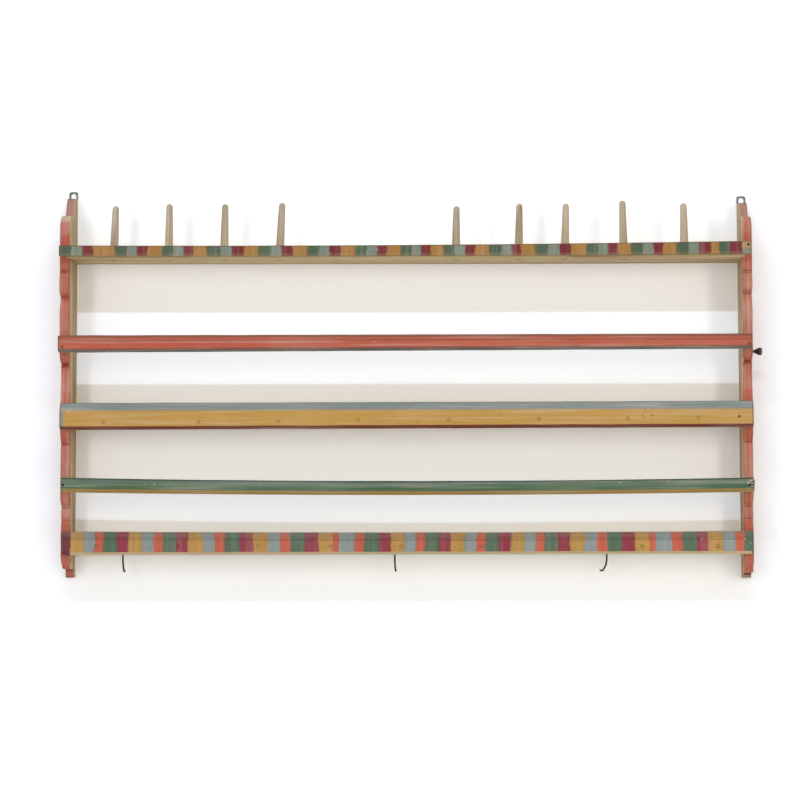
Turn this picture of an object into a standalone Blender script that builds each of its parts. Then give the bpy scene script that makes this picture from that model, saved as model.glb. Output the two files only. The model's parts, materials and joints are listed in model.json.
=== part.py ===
"""A painted wooden plate rack that hangs on a wall.

Two scalloped side boards carry three shelves, and five rails are fastened across the front.
Wooden pegs stand in the top shelf and iron hooks hang under the bottom one.
The wall is the plane y = 0 and the front faces -Y. The origin is the middle of the middle
shelf's back edge. The scene is in metres, and every size below is in millimetres or degrees.
A place along the rack is a share of the way from its middle to a side board's inner face,
with the left at -1 and the right at 1. Depths are measured from the wall.
"""

import math

import bmesh
import bpy
from mathutils import Vector

for old in list(bpy.data.objects):
    bpy.data.objects.remove(old, do_unlink=True)

MM = 0.001
FIT = 0.3  # gap between two pieces that touch
OVERCUT = 5.0  # how far a cutter runs past the surface that it opens

# Shelves. Rises are given at the left end, in the middle and at the right end.
UPPER_BAY_HEIGHT = 330.0  # clear of the shelves above and below
LOWER_BAY_HEIGHT = 242.0
TOP_THICK = 22.0
MIDDLE_THICK = 20.0
BOTTOM_THICK = 20.0
TOP_RISE = (4.5, 0.0, -3.0)
LEVEL_RISE = (0.0, 0.0, 0.0)
HOUSING = 6.0  # how far the shelf ends sit in the side boards

# Side boards.
WIDTH = 1450.0  # across the outer faces
BOARD = 19.0  # thickness
STRIP_SEAT = 98.0  # depth of the front edge behind each rail, from the top down
UPPER_SEAT = 92.0
MIDDLE_SEAT = 80.0
LOWER_SEAT = 72.0
BOTTOM_SEAT = 64.0
SEAT_MARGIN = 3.0  # how far a seat runs past its rail
SHOULDER_RISE = {"left": 100.0, "right": 87.0}  # above the top shelf's underside
SHOULDER_ROUND = 40.0
SHOULDER_FLAT = 14.0
NECK_HEIGHT = {"left": 44.0, "right": 35.5}  # above the shoulder
NECK_TIP = 24.0  # depths of the neck
NECK_FOOT = 36.0
NECK_FILLET = 14.0
TAIL_DROP = {"left": 25.0, "right": 34.5}  # below the bottom seat
TAIL_TAPER = {"left": 20.0, "right": 14.0}  # how much depth the tail loses
TAB_LENGTH = {"left": 19.5, "right": 12.5}
TAB_DEPTH = {"left": 7.0, "right": 14.0}
TAB_FOOT = (4.0, 2.0)  # how much deeper the tab is at the tail, and how far below it
CURVE_STEPS = 5

# The scallops between the seats, from the top bay down. Each pair is a share of the way down
# the bay, and a depth past the straight line between the two seats. One pair is a line to that
# point, and two are a curve that bends towards the first and ends at the second.
BAYS = (
    (
        ((0.12, 0.5),),
        ((0.145, -2.0),),
        ((0.18, 1.5),),
        ((0.28, 5.5), (0.41, 4.5)),
        ((0.46, 4.0), (0.475, -7.0)),
        ((0.5, -9.0),),
        ((0.55, -7.5), (0.645, 0.0)),
        ((0.815, 5.0), (1.0, 0.0)),
    ),
    (
        ((0.125, -0.5), (0.167, -11.0)),
        ((0.2, -18.5),),
        ((0.26, -10.5),),
        ((0.31, -16.0), (0.46, -12.5)),
        ((0.75, -7.0), (1.0, 0.0)),
    ),
    (
        ((0.15, -1.0), (0.25, -9.5)),
        ((0.29, -10.5),),
        ((0.35, -6.0), (0.46, -5.0)),
        ((0.71, -1.5), (1.0, 0.0)),
    ),
    (
        ((0.14, -1.0), (0.25, -10.0)),
        ((0.32, -12.0),),
        ((0.4, -7.0), (0.59, -6.0)),
        ((0.71, -7.5),),
        ((0.84, -5.0), (1.0, 0.0)),
    ),
)

# Rails. The insets are from the side boards' outer faces at the left and at the right. Rises of
# the lower edge, and heights, are given at the left end, in the middle and at the right end.
STRIP_REVEAL = 3.0  # of the top shelf's edge under the strip
STRIP_THICK = 16.0
STRIP_INSET = (1.0, 2.5)
STRIP_RISE = (4.9, 0.0, -1.2)
STRIP_HEIGHT = (23.2, 23.5, 27.7)
STRIP_ARRIS = 1.5
UPPER_CLEAR_HEIGHT = 135.4  # from the middle shelf to the lower edge
UPPER_THICK = 18.0
UPPER_INSET = (-0.5, 2.5)
UPPER_HEIGHT = (36.4, 32.9, 31.8)
UPPER_ARRIS = 2.5
UPPER_BEVEL = (5.0, 6.0)  # depth and height of the bevel along the lower edge
UPPER_GROOVES = (9.0, 14.0)  # distances below the upper edge
UPPER_GROOVE = (0.6, 2.0)  # depth and height of each groove
MIDDLE_DROP = 6.8  # of the rail below the middle shelf
MIDDLE_RAIL_THICK = 20.0
MIDDLE_INSET = (1.5, 1.0)
MIDDLE_HEIGHT = (57.2, 56.0, 55.2)
MIDDLE_BEVEL = (5.0, 6.5)
MIDDLE_SLOPE = (7.0, 16.0)  # depth and height of the slope along the upper edge
MIDDLE_END = (4.0, 8.0)  # depth and length of the bevel on the left end
LOWER_CLEAR_HEIGHT = 100.8  # from the bottom shelf to the lower edge
LOWER_THICK = 18.0
LOWER_INSET = (3.5, -1.5)
LOWER_RISE = (3.7, -4.2, 0.2)
LOWER_HEIGHT = (31.6, 30.2, 30.6)
LOWER_BEVEL = (6.0, 8.0)
LOWER_ROUND = 5.0
BOTTOM_DROP = 7.2  # of the rail below the bottom shelf
BOTTOM_RAIL_THICK = 20.0
BOTTOM_INSET = (5.5, 2.5)
BOTTOM_HEIGHT = (50.8, 47.0, 48.4)
BOTTOM_BEVEL = (5.0, 6.0)
BOTTOM_ARRIS = 2.0
BOTTOM_GROOVES = (6.0, 11.5, 17.0)
BOTTOM_GROOVE = (0.9, 2.8)
RAIL_STEPS = 8

# Pegs in the top shelf: place, height above the shelf and lean to the right.
PEGS = (
    (-0.871, 94.7, 1.8),
    (-0.706, 98.8, 0.6),
    (-0.539, 98.4, 1.0),
    (-0.372, 100.3, 2.8),
    (0.155, 92.7, 0.7),
    (0.342, 97.5, 1.0),
    (0.479, 97.1, 1.6),
    (0.653, 102.9, -1.0),
    (0.833, 96.9, -0.7),
)
EMPTY_HOLES = (-0.204, -0.024)
PEG_SETBACK = 30.0  # from the top shelf's front edge to the pegs' middles
PEG_FOOT = 17.6  # diameters
PEG_TIP = 13.8
PEG_TENON = 13.4
PEG_RECESS = 2.0  # from the tenon's end to the shelf's underside
PEG_SIDES = 12

# Wooden pins through the middle and bottom rails, and their heights above the middle of the
# shelf's edge at the first pin and at the last.
MIDDLE_PINS = (-0.892, -0.608, -0.373, -0.136, 0.132, 0.397, 0.657, 0.864)
MIDDLE_PIN_RISE = (-0.5, 2.5)
BOTTOM_PINS = (-0.912, -0.671, -0.432, -0.218, -0.01, 0.226, 0.466, 0.697, 0.919)
BOTTOM_PIN_RISE = (2.1, -0.7)
PIN = 6.4  # diameter
PIN_DEPTH = 22.0  # in the shelf
PIN_PROUD = 0.4
PIN_SIDES = 12

# Nails. End nails go into the middle of a side board's edge, at a share of the rail's height.
STRIP_END_NAILS = 0.72
UPPER_END_NAILS = 0.32
LOWER_END_NAILS = 0.5
STRIP_NAILS = (-0.455, 0.248)  # into the top shelf's edge
MIDDLE_NAIL = (12.0, 5.5)  # from the right board's inner face, and above the shelf's middle
NAIL = 3.0  # diameter of the shank
NAIL_HEAD = (5.4, 0.9)  # diameter and thickness
NAIL_POINT = 3.0  # length
NAIL_DEPTH = 26.0  # behind the rail
NAIL_SIDES = 10

# Hanger plates let into the backs of the necks.
PLATE_WIDTH = 14.0
PLATE_THICK = 2.2
PLATE_LENGTH = 46.0  # below the top of the neck
EYE_WIDTH = 19.0
EYE_HEIGHT = 18.2  # above the neck
EYE_CORNER = 4.5  # radius
EYE_FOOT = (0.5, 3.0)  # heights above the neck at which the strap starts to widen, and is wide
EYE_HOLE_WIDTH = 11.4
EYE_BANDS = (2.0, 2.8)  # heights of the metal below and above the hole
EYE_STEPS = 12
PLATE_NAILS = (13.0, 34.0)  # below the top of the neck
PLATE_NAIL_LENGTH = 15.0
PLATE_NAIL_INSET = 0.2

# Iron hooks under the bottom shelf: place, and the way that the tip turns, where 0 is +X and
# 90 is +Y. The path runs from the shelf down, as (reach, height).
HOOKS = ((-0.847, -62.0), (-0.032, -76.0), (0.598, 180.0))
HOOK_SETBACK = 30.0  # from the bottom shelf's front edge
HOOK_WIRE = 3.8
HOOK_SHANK = 14.0  # in the shelf
HOOK_PATH = (
    (0.0, -10.0),
    (0.3, -18.0),
    (2.0, -27.0),
    (5.0, -34.5),
    (8.6, -39.5),
    (12.4, -41.6),
    (15.8, -40.0),
    (17.4, -36.0),
    (17.6, -31.5),
)
HOOK_POINT = 0.7  # share of the wire left at the tip
HOOK_SIDES = 8

# Turned knob on the right side board: its shape is (distance from the board's face, radius).
KNOB_DEPTH = 45.0
KNOB_HEIGHT = 134.7  # of its axis above the middle shelf
KNOB_TENON = 12.0
KNOB_NECK = 3.0
KNOB_SHAPE = (
    (3.0, 3.0),
    (8.0, 3.3),
    (11.0, 4.4),
    (14.0, 5.9),
    (17.0, 7.4),
    (20.0, 8.2),
    (22.5, 8.1),
    (24.2, 6.9),
    (24.8, 4.6),
)
KNOB_SIDES = 16
SMOOTH_ANGLE = 38.0

OUTER = WIDTH / 2
INNER = OUTER - BOARD
BOARD_MIDDLE = OUTER - BOARD / 2

# Levels of the shelves' undersides and of what stands clear above a shelf.
MIDDLE_LEVEL = -MIDDLE_THICK / 2
TOP_LEVEL = MIDDLE_LEVEL + MIDDLE_THICK + UPPER_BAY_HEIGHT
BOTTOM_LEVEL = MIDDLE_LEVEL - LOWER_BAY_HEIGHT - BOTTOM_THICK
UPPER_LEVEL = MIDDLE_LEVEL + MIDDLE_THICK + UPPER_CLEAR_HEIGHT
LOWER_LEVEL = BOTTOM_LEVEL + BOTTOM_THICK + LOWER_CLEAR_HEIGHT
KNOB_Z = MIDDLE_LEVEL + MIDDLE_THICK + KNOB_HEIGHT

TOP_SHELF = {"level": TOP_LEVEL, "rise": TOP_RISE, "thick": TOP_THICK, "depth": STRIP_SEAT}
MIDDLE_SHELF = {"level": MIDDLE_LEVEL, "rise": LEVEL_RISE, "thick": MIDDLE_THICK, "depth": MIDDLE_SEAT}
BOTTOM_SHELF = {"level": BOTTOM_LEVEL, "rise": LEVEL_RISE, "thick": BOTTOM_THICK, "depth": BOTTOM_SEAT}


def rail(seat, level, thick, inset, rise, height):
    return {
        "seat": seat,
        "level": level,
        "thick": thick,
        "ends": (inset[0] - OUTER, OUTER - inset[1]),
        "bottom": tuple(level + r for r in rise),
        "top": tuple(level + r + h for r, h in zip(rise, height)),
    }


STRIP = rail(
    STRIP_SEAT, TOP_LEVEL + STRIP_REVEAL, STRIP_THICK, STRIP_INSET, STRIP_RISE, STRIP_HEIGHT
)
UPPER = rail(UPPER_SEAT, UPPER_LEVEL, UPPER_THICK, UPPER_INSET, LEVEL_RISE, UPPER_HEIGHT)
MIDDLE = rail(
    MIDDLE_SEAT,
    MIDDLE_LEVEL - MIDDLE_DROP,
    MIDDLE_RAIL_THICK,
    MIDDLE_INSET,
    LEVEL_RISE,
    MIDDLE_HEIGHT,
)
LOWER = rail(LOWER_SEAT, LOWER_LEVEL, LOWER_THICK, LOWER_INSET, LOWER_RISE, LOWER_HEIGHT)
BOTTOM = rail(
    BOTTOM_SEAT,
    BOTTOM_LEVEL - BOTTOM_DROP,
    BOTTOM_RAIL_THICK,
    BOTTOM_INSET,
    LEVEL_RISE,
    BOTTOM_HEIGHT,
)
RAILS = (STRIP, UPPER, MIDDLE, LOWER, BOTTOM)


def linear(value):
    """The linear value of one sRGB channel from 0 to 255."""
    value /= 255
    if value <= 0.04045:
        return value / 12.92
    return ((value + 0.055) / 1.055) ** 2.4


def material(name, colour, roughness, metallic=0.0):
    made = bpy.data.materials.new(name)
    made.use_nodes = True
    shader = made.node_tree.nodes["Principled BSDF"]
    shader.inputs["Base Color"].default_value = (*(linear(c) for c in colour), 1.0)
    shader.inputs["Roughness"].default_value = roughness
    shader.inputs["Metallic"].default_value = metallic
    return made


CORAL = material("coral paint", (190, 108, 85), 0.55)
OCHRE = material("ochre paint", (197, 157, 92), 0.55)
GREEN = material("green paint", (92, 113, 85), 0.5)
STRIPED = material("striped paint", (150, 128, 96), 0.55)
PINE = material("bare pine", (176, 157, 126), 0.7)
PEG_WOOD = material("peg wood", (183, 168, 145), 0.65)
PIN_WOOD = material("pin wood", (120, 92, 62), 0.7)
IRON = material("black iron", (40, 38, 37), 0.5, 0.8)
STEEL = material("hanger steel", (110, 113, 104), 0.45, 0.9)
DARK_WOOD = material("dark knob", (40, 32, 28), 0.4)

rack = bpy.data.objects.new("plate_rack", None)
bpy.context.scene.collection.objects.link(rack)


def add_solid(mesh, rings):
    """Adds the closed body that runs through the rings of points."""
    loops = [[mesh.verts.new(Vector(p) * MM) for p in ring] for ring in rings]
    for here, after in zip(loops, loops[1:]):
        for i in range(len(here)):
            j = (i + 1) % len(here)
            mesh.faces.new((here[i], here[j], after[j], after[i]))
    mesh.faces.new(loops[0])
    mesh.faces.new(loops[-1])


def build(name, bodies, paint, place=(0, 0, 0), lean=0.0):
    """Makes an object at a place from bodies that are given about that place."""
    mesh = bmesh.new()
    for rings in bodies:
        add_solid(mesh, rings)
    bmesh.ops.recalc_face_normals(mesh, faces=mesh.faces)
    data = bpy.data.meshes.new(name)
    mesh.to_mesh(data)
    mesh.free()
    data.materials.append(paint)
    data.shade_smooth()
    data.set_sharp_from_angle(angle=math.radians(SMOOTH_ANGLE))
    made = bpy.data.objects.new(name, data)
    made.location = Vector(place) * MM
    made.rotation_euler.y = math.radians(lean)
    made.parent = rack
    bpy.context.scene.collection.objects.link(made)
    return made


def cut(target, label, bodies):
    """Cuts bodies, given in the rack's frame and clear of each other, out of the target."""
    cutter = build(f"{target.name}_{label}", bodies, PINE)
    cutter.hide_render = True
    cutter.display_type = "WIRE"
    modifier = target.modifiers.new(label, "BOOLEAN")
    modifier.operation = "DIFFERENCE"
    modifier.solver = "EXACT"
    modifier.object = cutter


def turned(start, direction, shape, sides):
    """Rings of a round body: shape lists distances along the direction, with radii."""
    start = Vector(start)
    direction = Vector(direction).normalized()
    across = direction.orthogonal().normalized()
    other = direction.cross(across)
    rings = []
    for distance, radius in shape:
        middle = start + direction * distance
        ring = []
        for i in range(sides):
            angle = math.tau * (i + 0.5) / sides
            ring.append(middle + radius * (math.cos(angle) * across + math.sin(angle) * other))
        rings.append(ring)
    return rings


def bend(levels, share):
    """The height at a share of the length from -1 to 1, through the three given levels."""
    left, middle, right = levels
    return middle + (right - left) / 2 * share + ((left + right) / 2 - middle) * share * share


def rail_edges(piece, x):
    """Heights of a rail's lower and upper edges."""
    first, last = piece["ends"]
    share = 2 * (x - first) / (last - first) - 1
    return bend(piece["bottom"], share), bend(piece["top"], share)


def rail_face(piece):
    return -(piece["seat"] + FIT + piece["thick"])


def shelf_under(shelf, x):
    return shelf["level"] + bend(shelf["rise"], x / INNER)


def curve(start, towards, end):
    points = []
    for i in range(1, CURVE_STEPS + 1):
        t = i / CURVE_STEPS
        weights = ((1 - t) ** 2, 2 * t * (1 - t), t * t)
        point = tuple(
            weights[0] * a + weights[1] * b + weights[2] * c for a, b, c in zip(start, towards, end)
        )
        points.append(point)
    return points


def neck_top(side):
    return TOP_LEVEL + SHOULDER_RISE[side] + NECK_HEIGHT[side]


def bay_path(bay, above, below):
    """The scallops of one bay as (depth, z), from the seat above to the seat below."""
    high = min(above["bottom"]) - SEAT_MARGIN
    low = max(below["top"]) + SEAT_MARGIN
    path = [((above["seat"], high),)]
    for piece in bay:
        points = []
        for share, out in piece:
            depth = above["seat"] + (below["seat"] - above["seat"]) * share + out
            points.append((depth, high + (low - high) * share))
        path.append(tuple(points))
    return path


def side_outline(side):
    """A side board's outline as (depth, z), from the tab up the back and down the front."""
    shoulder = TOP_LEVEL + SHOULDER_RISE[side]
    seat_end = min(BOTTOM["bottom"]) - SEAT_MARGIN
    drop = TAIL_DROP[side]
    taper = TAIL_TAPER[side]
    tail_end = seat_end - drop
    tab_end = tail_end - TAB_LENGTH[side]
    tail = BOTTOM_SEAT - taper
    tab = TAB_DEPTH[side]
    flat = NECK_FOOT + NECK_FILLET + SHOULDER_FLAT
    path = [
        ((NECK_FOOT + 0.2 * NECK_FILLET, shoulder), (NECK_FOOT + NECK_FILLET, shoulder)),
        ((flat, shoulder),),
        ((STRIP_SEAT, shoulder), (STRIP_SEAT, shoulder - SHOULDER_ROUND)),
    ]
    for bay, above, below in zip(BAYS, RAILS, RAILS[1:]):
        path.extend(bay_path(bay, above, below))
    path.append(((BOTTOM_SEAT, seat_end),))
    path.append(
        (
            (BOTTOM_SEAT, seat_end - 0.4 * drop),
            (BOTTOM_SEAT - 0.6 * taper, seat_end - 0.6 * drop),
        )
    )
    path.append(((tail, seat_end - 0.7 * drop), (tail, tail_end)))
    path.append(((tab + TAB_FOOT[0], tail_end - TAB_FOOT[1]),))
    path.append(((tab, tab_end),))
    top = neck_top(side)
    points = [(0.0, tab_end), (0.0, top), (NECK_TIP, top), (NECK_FOOT, shoulder + NECK_FILLET)]
    for piece in path:
        if len(piece) == 1:
            points.append(piece[0])
        else:
            points.extend(curve(points[-1], *piece))
    return points


def grooves(top, front, places, size):
    """Points of V grooves in a rail's face, from the lowest up."""
    deep, high = size
    points = []
    for place in sorted(places, reverse=True):
        z = top - place
        points.extend([(front, z - high / 2), (front - deep, z), (front, z + high / 2)])
    return points


def bevelled_foot(bottom, front, bevel):
    return [(0, bottom), (front - bevel[0], bottom), (front, bottom + bevel[1])]


def eased_head(top, front, arris):
    return [(front, top - arris), (front - arris, top), (0, top)]


def strip_section(bottom, top, front):
    foot = bevelled_foot(bottom, front, (STRIP_ARRIS, STRIP_ARRIS))
    return [*foot, *eased_head(top, front, STRIP_ARRIS)]


def upper_section(bottom, top, front):
    foot = bevelled_foot(bottom, front, UPPER_BEVEL)
    lines = grooves(top, front, UPPER_GROOVES, UPPER_GROOVE)
    return [*foot, *lines, *eased_head(top, front, UPPER_ARRIS)]


def middle_section(bottom, top, front):
    foot = bevelled_foot(bottom, front, MIDDLE_BEVEL)
    return [*foot, (front, top - MIDDLE_SLOPE[1]), (front - MIDDLE_SLOPE[0], top), (0, top)]


def lower_section(bottom, top, front):
    foot = bevelled_foot(bottom, front, LOWER_BEVEL)
    r = LOWER_ROUND
    return [*foot, (front, top - r), (front - 0.3 * r, top - 0.3 * r), (front - r, top), (0, top)]


def bottom_section(bottom, top, front):
    foot = bevelled_foot(bottom, front, BOTTOM_BEVEL)
    lines = grooves(top, front, BOTTOM_GROOVES, BOTTOM_GROOVE)
    return [*foot, *lines, *eased_head(top, front, BOTTOM_ARRIS)]


def rail_rings(piece, section, end_bevel):
    """Rings of a rail along X about the middle of its back. The end bevel thins the left end."""
    first, last = piece["ends"]
    places = [(first, piece["thick"] - end_bevel[0])]
    if end_bevel[1]:
        places.append((first + end_bevel[1], piece["thick"]))
    for i in range(1, RAIL_STEPS + 1):
        places.append((first + (last - first) * i / RAIL_STEPS, piece["thick"]))
    rings = []
    for x, front in places:
        bottom, top = rail_edges(piece, x)
        outline = section(bottom - piece["level"], top - piece["level"], front)
        rings.append([(x, -d, z) for d, z in outline])
    return rings


def shelf_section(shelf, x, back, front, grow):
    under = shelf_under(shelf, x) - grow
    over = under + shelf["thick"] + 2 * grow
    return [(x, back, under), (x, front, under), (x, front, over), (x, back, over)]


def shelf_rings(shelf):
    reach = INNER + HOUSING - FIT
    rings = []
    for i in range(RAIL_STEPS + 1):
        x = reach * (2 * i / RAIL_STEPS - 1)
        rings.append(shelf_section(shelf, x, 0.0, -shelf["depth"], 0.0))
    return rings


def housing(shelf, sign):
    """The groove for a shelf's end, open at the board's back and front edges."""
    front = -(shelf["depth"] + 4 * OVERCUT)
    places = (sign * (INNER - OVERCUT), sign * (INNER + HOUSING))
    return [shelf_section(shelf, x, OVERCUT, front, FIT) for x in places]


def nail_hole(piece, place):
    x, z = place
    length = OVERCUT + piece["thick"] + FIT + NAIL_DEPTH + FIT
    radius = NAIL / 2 + FIT
    start = (x, rail_face(piece) - OVERCUT, z)
    return turned(start, (0, 1, 0), ((0, radius), (length, radius)), NAIL_SIDES)


def nail_rings(piece):
    """Rings of a nail about the front of its head."""
    wide, thick = NAIL_HEAD
    length = thick + FIT + piece["thick"] + FIT + NAIL_DEPTH
    shape = (
        (0.0, 0.3 * wide),
        (0.5 * thick, 0.47 * wide),
        (thick, 0.5 * wide),
        (thick + 0.01, NAIL / 2),
        (length - NAIL_POINT, NAIL / 2),
        (length, NAIL / 5),
    )
    return turned((0, 0, 0), (0, 1, 0), shape, NAIL_SIDES)


def end_nails(piece, share):
    """Places of the nails through both ends of a rail into the side boards."""
    places = []
    for x in (-BOARD_MIDDLE, BOARD_MIDDLE):
        bottom, top = rail_edges(piece, x)
        places.append((x, bottom + share * (top - bottom)))
    return places


def shelf_middle(shelf, x):
    return shelf_under(shelf, x) + shelf["thick"] / 2


def pin_places(shelf, shares, rises):
    first, last = shares[0], shares[-1]
    places = []
    for share in shares:
        rise = rises[0] + (rises[1] - rises[0]) * (share - first) / (last - first)
        places.append((share * INNER, shelf_middle(shelf, share * INNER) + rise))
    return places


def pin_hole(piece, place):
    x, z = place
    length = OVERCUT + piece["thick"] + FIT + PIN_DEPTH + FIT
    radius = PIN / 2 + FIT
    start = (x, rail_face(piece) - OVERCUT, z)
    return turned(start, (0, 1, 0), ((0, radius), (length, radius)), PIN_SIDES)


def pin_rings(piece):
    """Rings of a pin about the middle of its front end."""
    length = PIN_PROUD + piece["thick"] + FIT + PIN_DEPTH
    return turned((0, 0, 0), (0, 1, 0), ((0, PIN / 2), (length, PIN / 2)), PIN_SIDES)


def peg_lift(lean):
    """How far a leaning peg's shoulder stays above the shelf at its middle."""
    return FIT + PEG_FOOT / 2 * math.sin(math.radians(abs(lean)))


def peg_line():
    return -(STRIP_SEAT - PEG_SETBACK)


def peg_place(share, lean):
    x = share * INNER
    return (x, peg_line(), shelf_under(TOP_SHELF, x) + TOP_THICK + peg_lift(lean))


def peg_rings(height, lean):
    """Rings of a peg about the middle of its shoulder, from the tenon's end to a round tip."""
    below = TOP_THICK + peg_lift(lean) - PEG_RECESS
    length = (height - peg_lift(lean)) / math.cos(math.radians(lean))
    r = PEG_TIP / 2
    shape = (
        (-below, PEG_TENON / 2 - 0.8),
        (1.5 - below, PEG_TENON / 2),
        (-0.01, PEG_TENON / 2),
        (0.0, PEG_FOOT / 2),
        (0.45 * length, PEG_FOOT / 2 - 0.12 * (PEG_FOOT - PEG_TIP)),
        (length - r, r),
        (length - 0.45 * r, 0.88 * r),
        (length - 0.12 * r, 0.5 * r),
        (length, 0.2 * r),
    )
    return turned((0, 0, 0), (0, 0, 1), shape, PEG_SIDES)


def peg_hole(share, lean):
    angle = math.radians(lean)
    radius = PEG_TENON / 2 + FIT
    shape = ((-TOP_THICK - 2 * OVERCUT, radius), (OVERCUT, radius))
    axis = (math.sin(angle), 0, math.cos(angle))
    return turned(peg_place(share, lean), axis, shape, PEG_SIDES)


def hook_place(share):
    x = share * INNER
    return (x, -(BOTTOM_SEAT - HOOK_SETBACK), shelf_under(BOTTOM_SHELF, x))


def hook_rings(turn):
    """Rings of a bent wire hook about the point where it leaves the shelf."""
    toward = Vector((math.cos(math.radians(turn)), math.sin(math.radians(turn)), 0))
    up = Vector((0, 0, 1))
    binormal = toward.cross(up)
    path = [(0.0, HOOK_SHANK), *HOOK_PATH]
    rings = []
    for i, (along, height) in enumerate(path):
        before = path[max(i - 1, 0)]
        after = path[min(i + 1, len(path) - 1)]
        heading = (toward * (after[0] - before[0]) + up * (after[1] - before[1])).normalized()
        normal = heading.cross(binormal)
        middle = toward * along + up * height
        radius = HOOK_WIRE / 2
        if i == len(path) - 1:
            radius *= HOOK_POINT
        ring = []
        for k in range(HOOK_SIDES):
            angle = math.tau * (k + 0.5) / HOOK_SIDES
            ring.append(middle + radius * (math.cos(angle) * normal + math.sin(angle) * binormal))
        rings.append(ring)
    return rings


def hook_hole(share):
    radius = HOOK_WIRE / 2 + FIT
    shape = ((-OVERCUT, radius), (HOOK_SHANK + FIT, radius))
    return turned(hook_place(share), (0, 0, 1), shape, 2 * HOOK_SIDES)


def plate_rings():
    """Rings of a hanger plate about the top of the neck: a strap that ends in a square-shouldered eye."""
    half = PLATE_WIDTH / 2
    wide = EYE_WIDTH / 2
    right = [(half, -PLATE_LENGTH), (half, EYE_FOOT[0]), (wide, EYE_FOOT[1])]
    for i in range(EYE_STEPS // 2 + 1):
        angle = math.pi / 2 * i / (EYE_STEPS // 2)
        x = wide - EYE_CORNER * (1 - math.cos(angle))
        right.append((x, EYE_HEIGHT - EYE_CORNER * (1 - math.sin(angle))))
    outline = right + [(-x, z) for x, z in reversed(right)]
    return [[(x, y, z) for x, z in outline] for y in (0.0, -PLATE_THICK)]


def eye_hole(x, top):
    """An arched hole in the eye."""
    half = EYE_HOLE_WIDTH / 2
    spring = top + EYE_HEIGHT - EYE_BANDS[1] - half
    outline = [(x - half, top + EYE_BANDS[0]), (x + half, top + EYE_BANDS[0])]
    for i in range(EYE_STEPS + 1):
        angle = math.pi * i / EYE_STEPS
        outline.append((x + half * math.cos(angle), spring + half * math.sin(angle)))
    return [[(px, y, pz) for px, pz in outline] for y in (OVERCUT, -PLATE_THICK - OVERCUT)]


def plate_recess(x, top):
    half = PLATE_WIDTH / 2 + FIT
    low = top - PLATE_LENGTH - FIT
    high = top + OVERCUT
    rings = []
    for y in (OVERCUT, -PLATE_THICK - FIT):
        rings.append([(x - half, y, low), (x + half, y, low), (x + half, y, high), (x - half, y, high)])
    return rings


def plate_nail_hole(x, z):
    shape = ((-OVERCUT, NAIL / 2 + FIT), (PLATE_NAIL_INSET + PLATE_NAIL_LENGTH + FIT, NAIL / 2 + FIT))
    return turned((x, 0, z), (0, -1, 0), shape, NAIL_SIDES)


def plate_nail_rings():
    return turned((0, 0, 0), (0, -1, 0), ((0, NAIL / 2), (PLATE_NAIL_LENGTH, NAIL / 2)), NAIL_SIDES)


def knob_rings(shape):
    return turned((0, 0, 0), (1, 0, 0), shape, KNOB_SIDES)


def knob_hole():
    radius = KNOB_NECK + FIT
    shape = ((-KNOB_TENON - FIT, radius), (OVERCUT, radius))
    return turned((OUTER, -KNOB_DEPTH, KNOB_Z), (1, 0, 0), shape, KNOB_SIDES)


def make_side(side, sign, nails):
    outline = side_outline(side)
    rings = [[(sign * x, -d, z) for d, z in outline] for x in (-BOARD, 0.0)]
    made = build(side + "_side", [rings], CORAL, (sign * OUTER, 0, 0))
    holes = [housing(shelf, sign) for shelf in (TOP_SHELF, MIDDLE_SHELF, BOTTOM_SHELF)]
    holes.extend(nail_hole(piece, place) for piece, place in nails if sign * place[0] > INNER)
    if side == "right":
        holes.append(knob_hole())
    cut(made, "holes", holes)
    top = neck_top(side)
    x = sign * BOARD_MIDDLE
    plate = build("hanger_" + side, [plate_rings()], STEEL, (x, 0, top))
    nail_holes = [plate_nail_hole(x, top - below) for below in PLATE_NAILS]
    cut(plate, "holes", [eye_hole(x, top), *nail_holes])
    cut(made, "recess", [plate_recess(x, top)])
    cut(made, "plate_nails", nail_holes)
    for i, below in enumerate(PLATE_NAILS):
        name = f"hanger_{side}_nail_{i + 1}"
        build(name, [plate_nail_rings()], IRON, (x, -PLATE_NAIL_INSET, top - below))


def make_shelf(name, shelf, holes):
    made = build(name, [shelf_rings(shelf)], PINE)
    cut(made, "holes", holes)


def make_rail(name, piece, section, paint, nails, pins, end_bevel=(0.0, 0.0)):
    place = (0, -(piece["seat"] + FIT), piece["level"])
    made = build(name, [rail_rings(piece, section, end_bevel)], paint, place)
    holes = [nail_hole(piece, place) for place in nails]
    holes.extend(pin_hole(piece, place) for place in pins)
    cut(made, "holes", holes)
    face = rail_face(piece)
    for i, (x, z) in enumerate(nails):
        head = (x, face - FIT - NAIL_HEAD[1], z)
        build(f"{name}_nail_{i + 1}", [nail_rings(piece)], IRON, head)
    for i, (x, z) in enumerate(pins):
        build(f"{name}_pin_{i + 1}", [pin_rings(piece)], PIN_WOOD, (x, face - PIN_PROUD, z))


strip_ends = end_nails(STRIP, STRIP_END_NAILS)
strip_shelf = [(s * INNER, shelf_middle(TOP_SHELF, s * INNER)) for s in STRIP_NAILS]
upper_ends = end_nails(UPPER, UPPER_END_NAILS)
lower_ends = end_nails(LOWER, LOWER_END_NAILS)
middle_x = INNER - MIDDLE_NAIL[0]
middle_nails = [(middle_x, shelf_middle(MIDDLE_SHELF, middle_x) + MIDDLE_NAIL[1])]
middle_pins = pin_places(MIDDLE_SHELF, MIDDLE_PINS, MIDDLE_PIN_RISE)
bottom_pins = pin_places(BOTTOM_SHELF, BOTTOM_PINS, BOTTOM_PIN_RISE)

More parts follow.
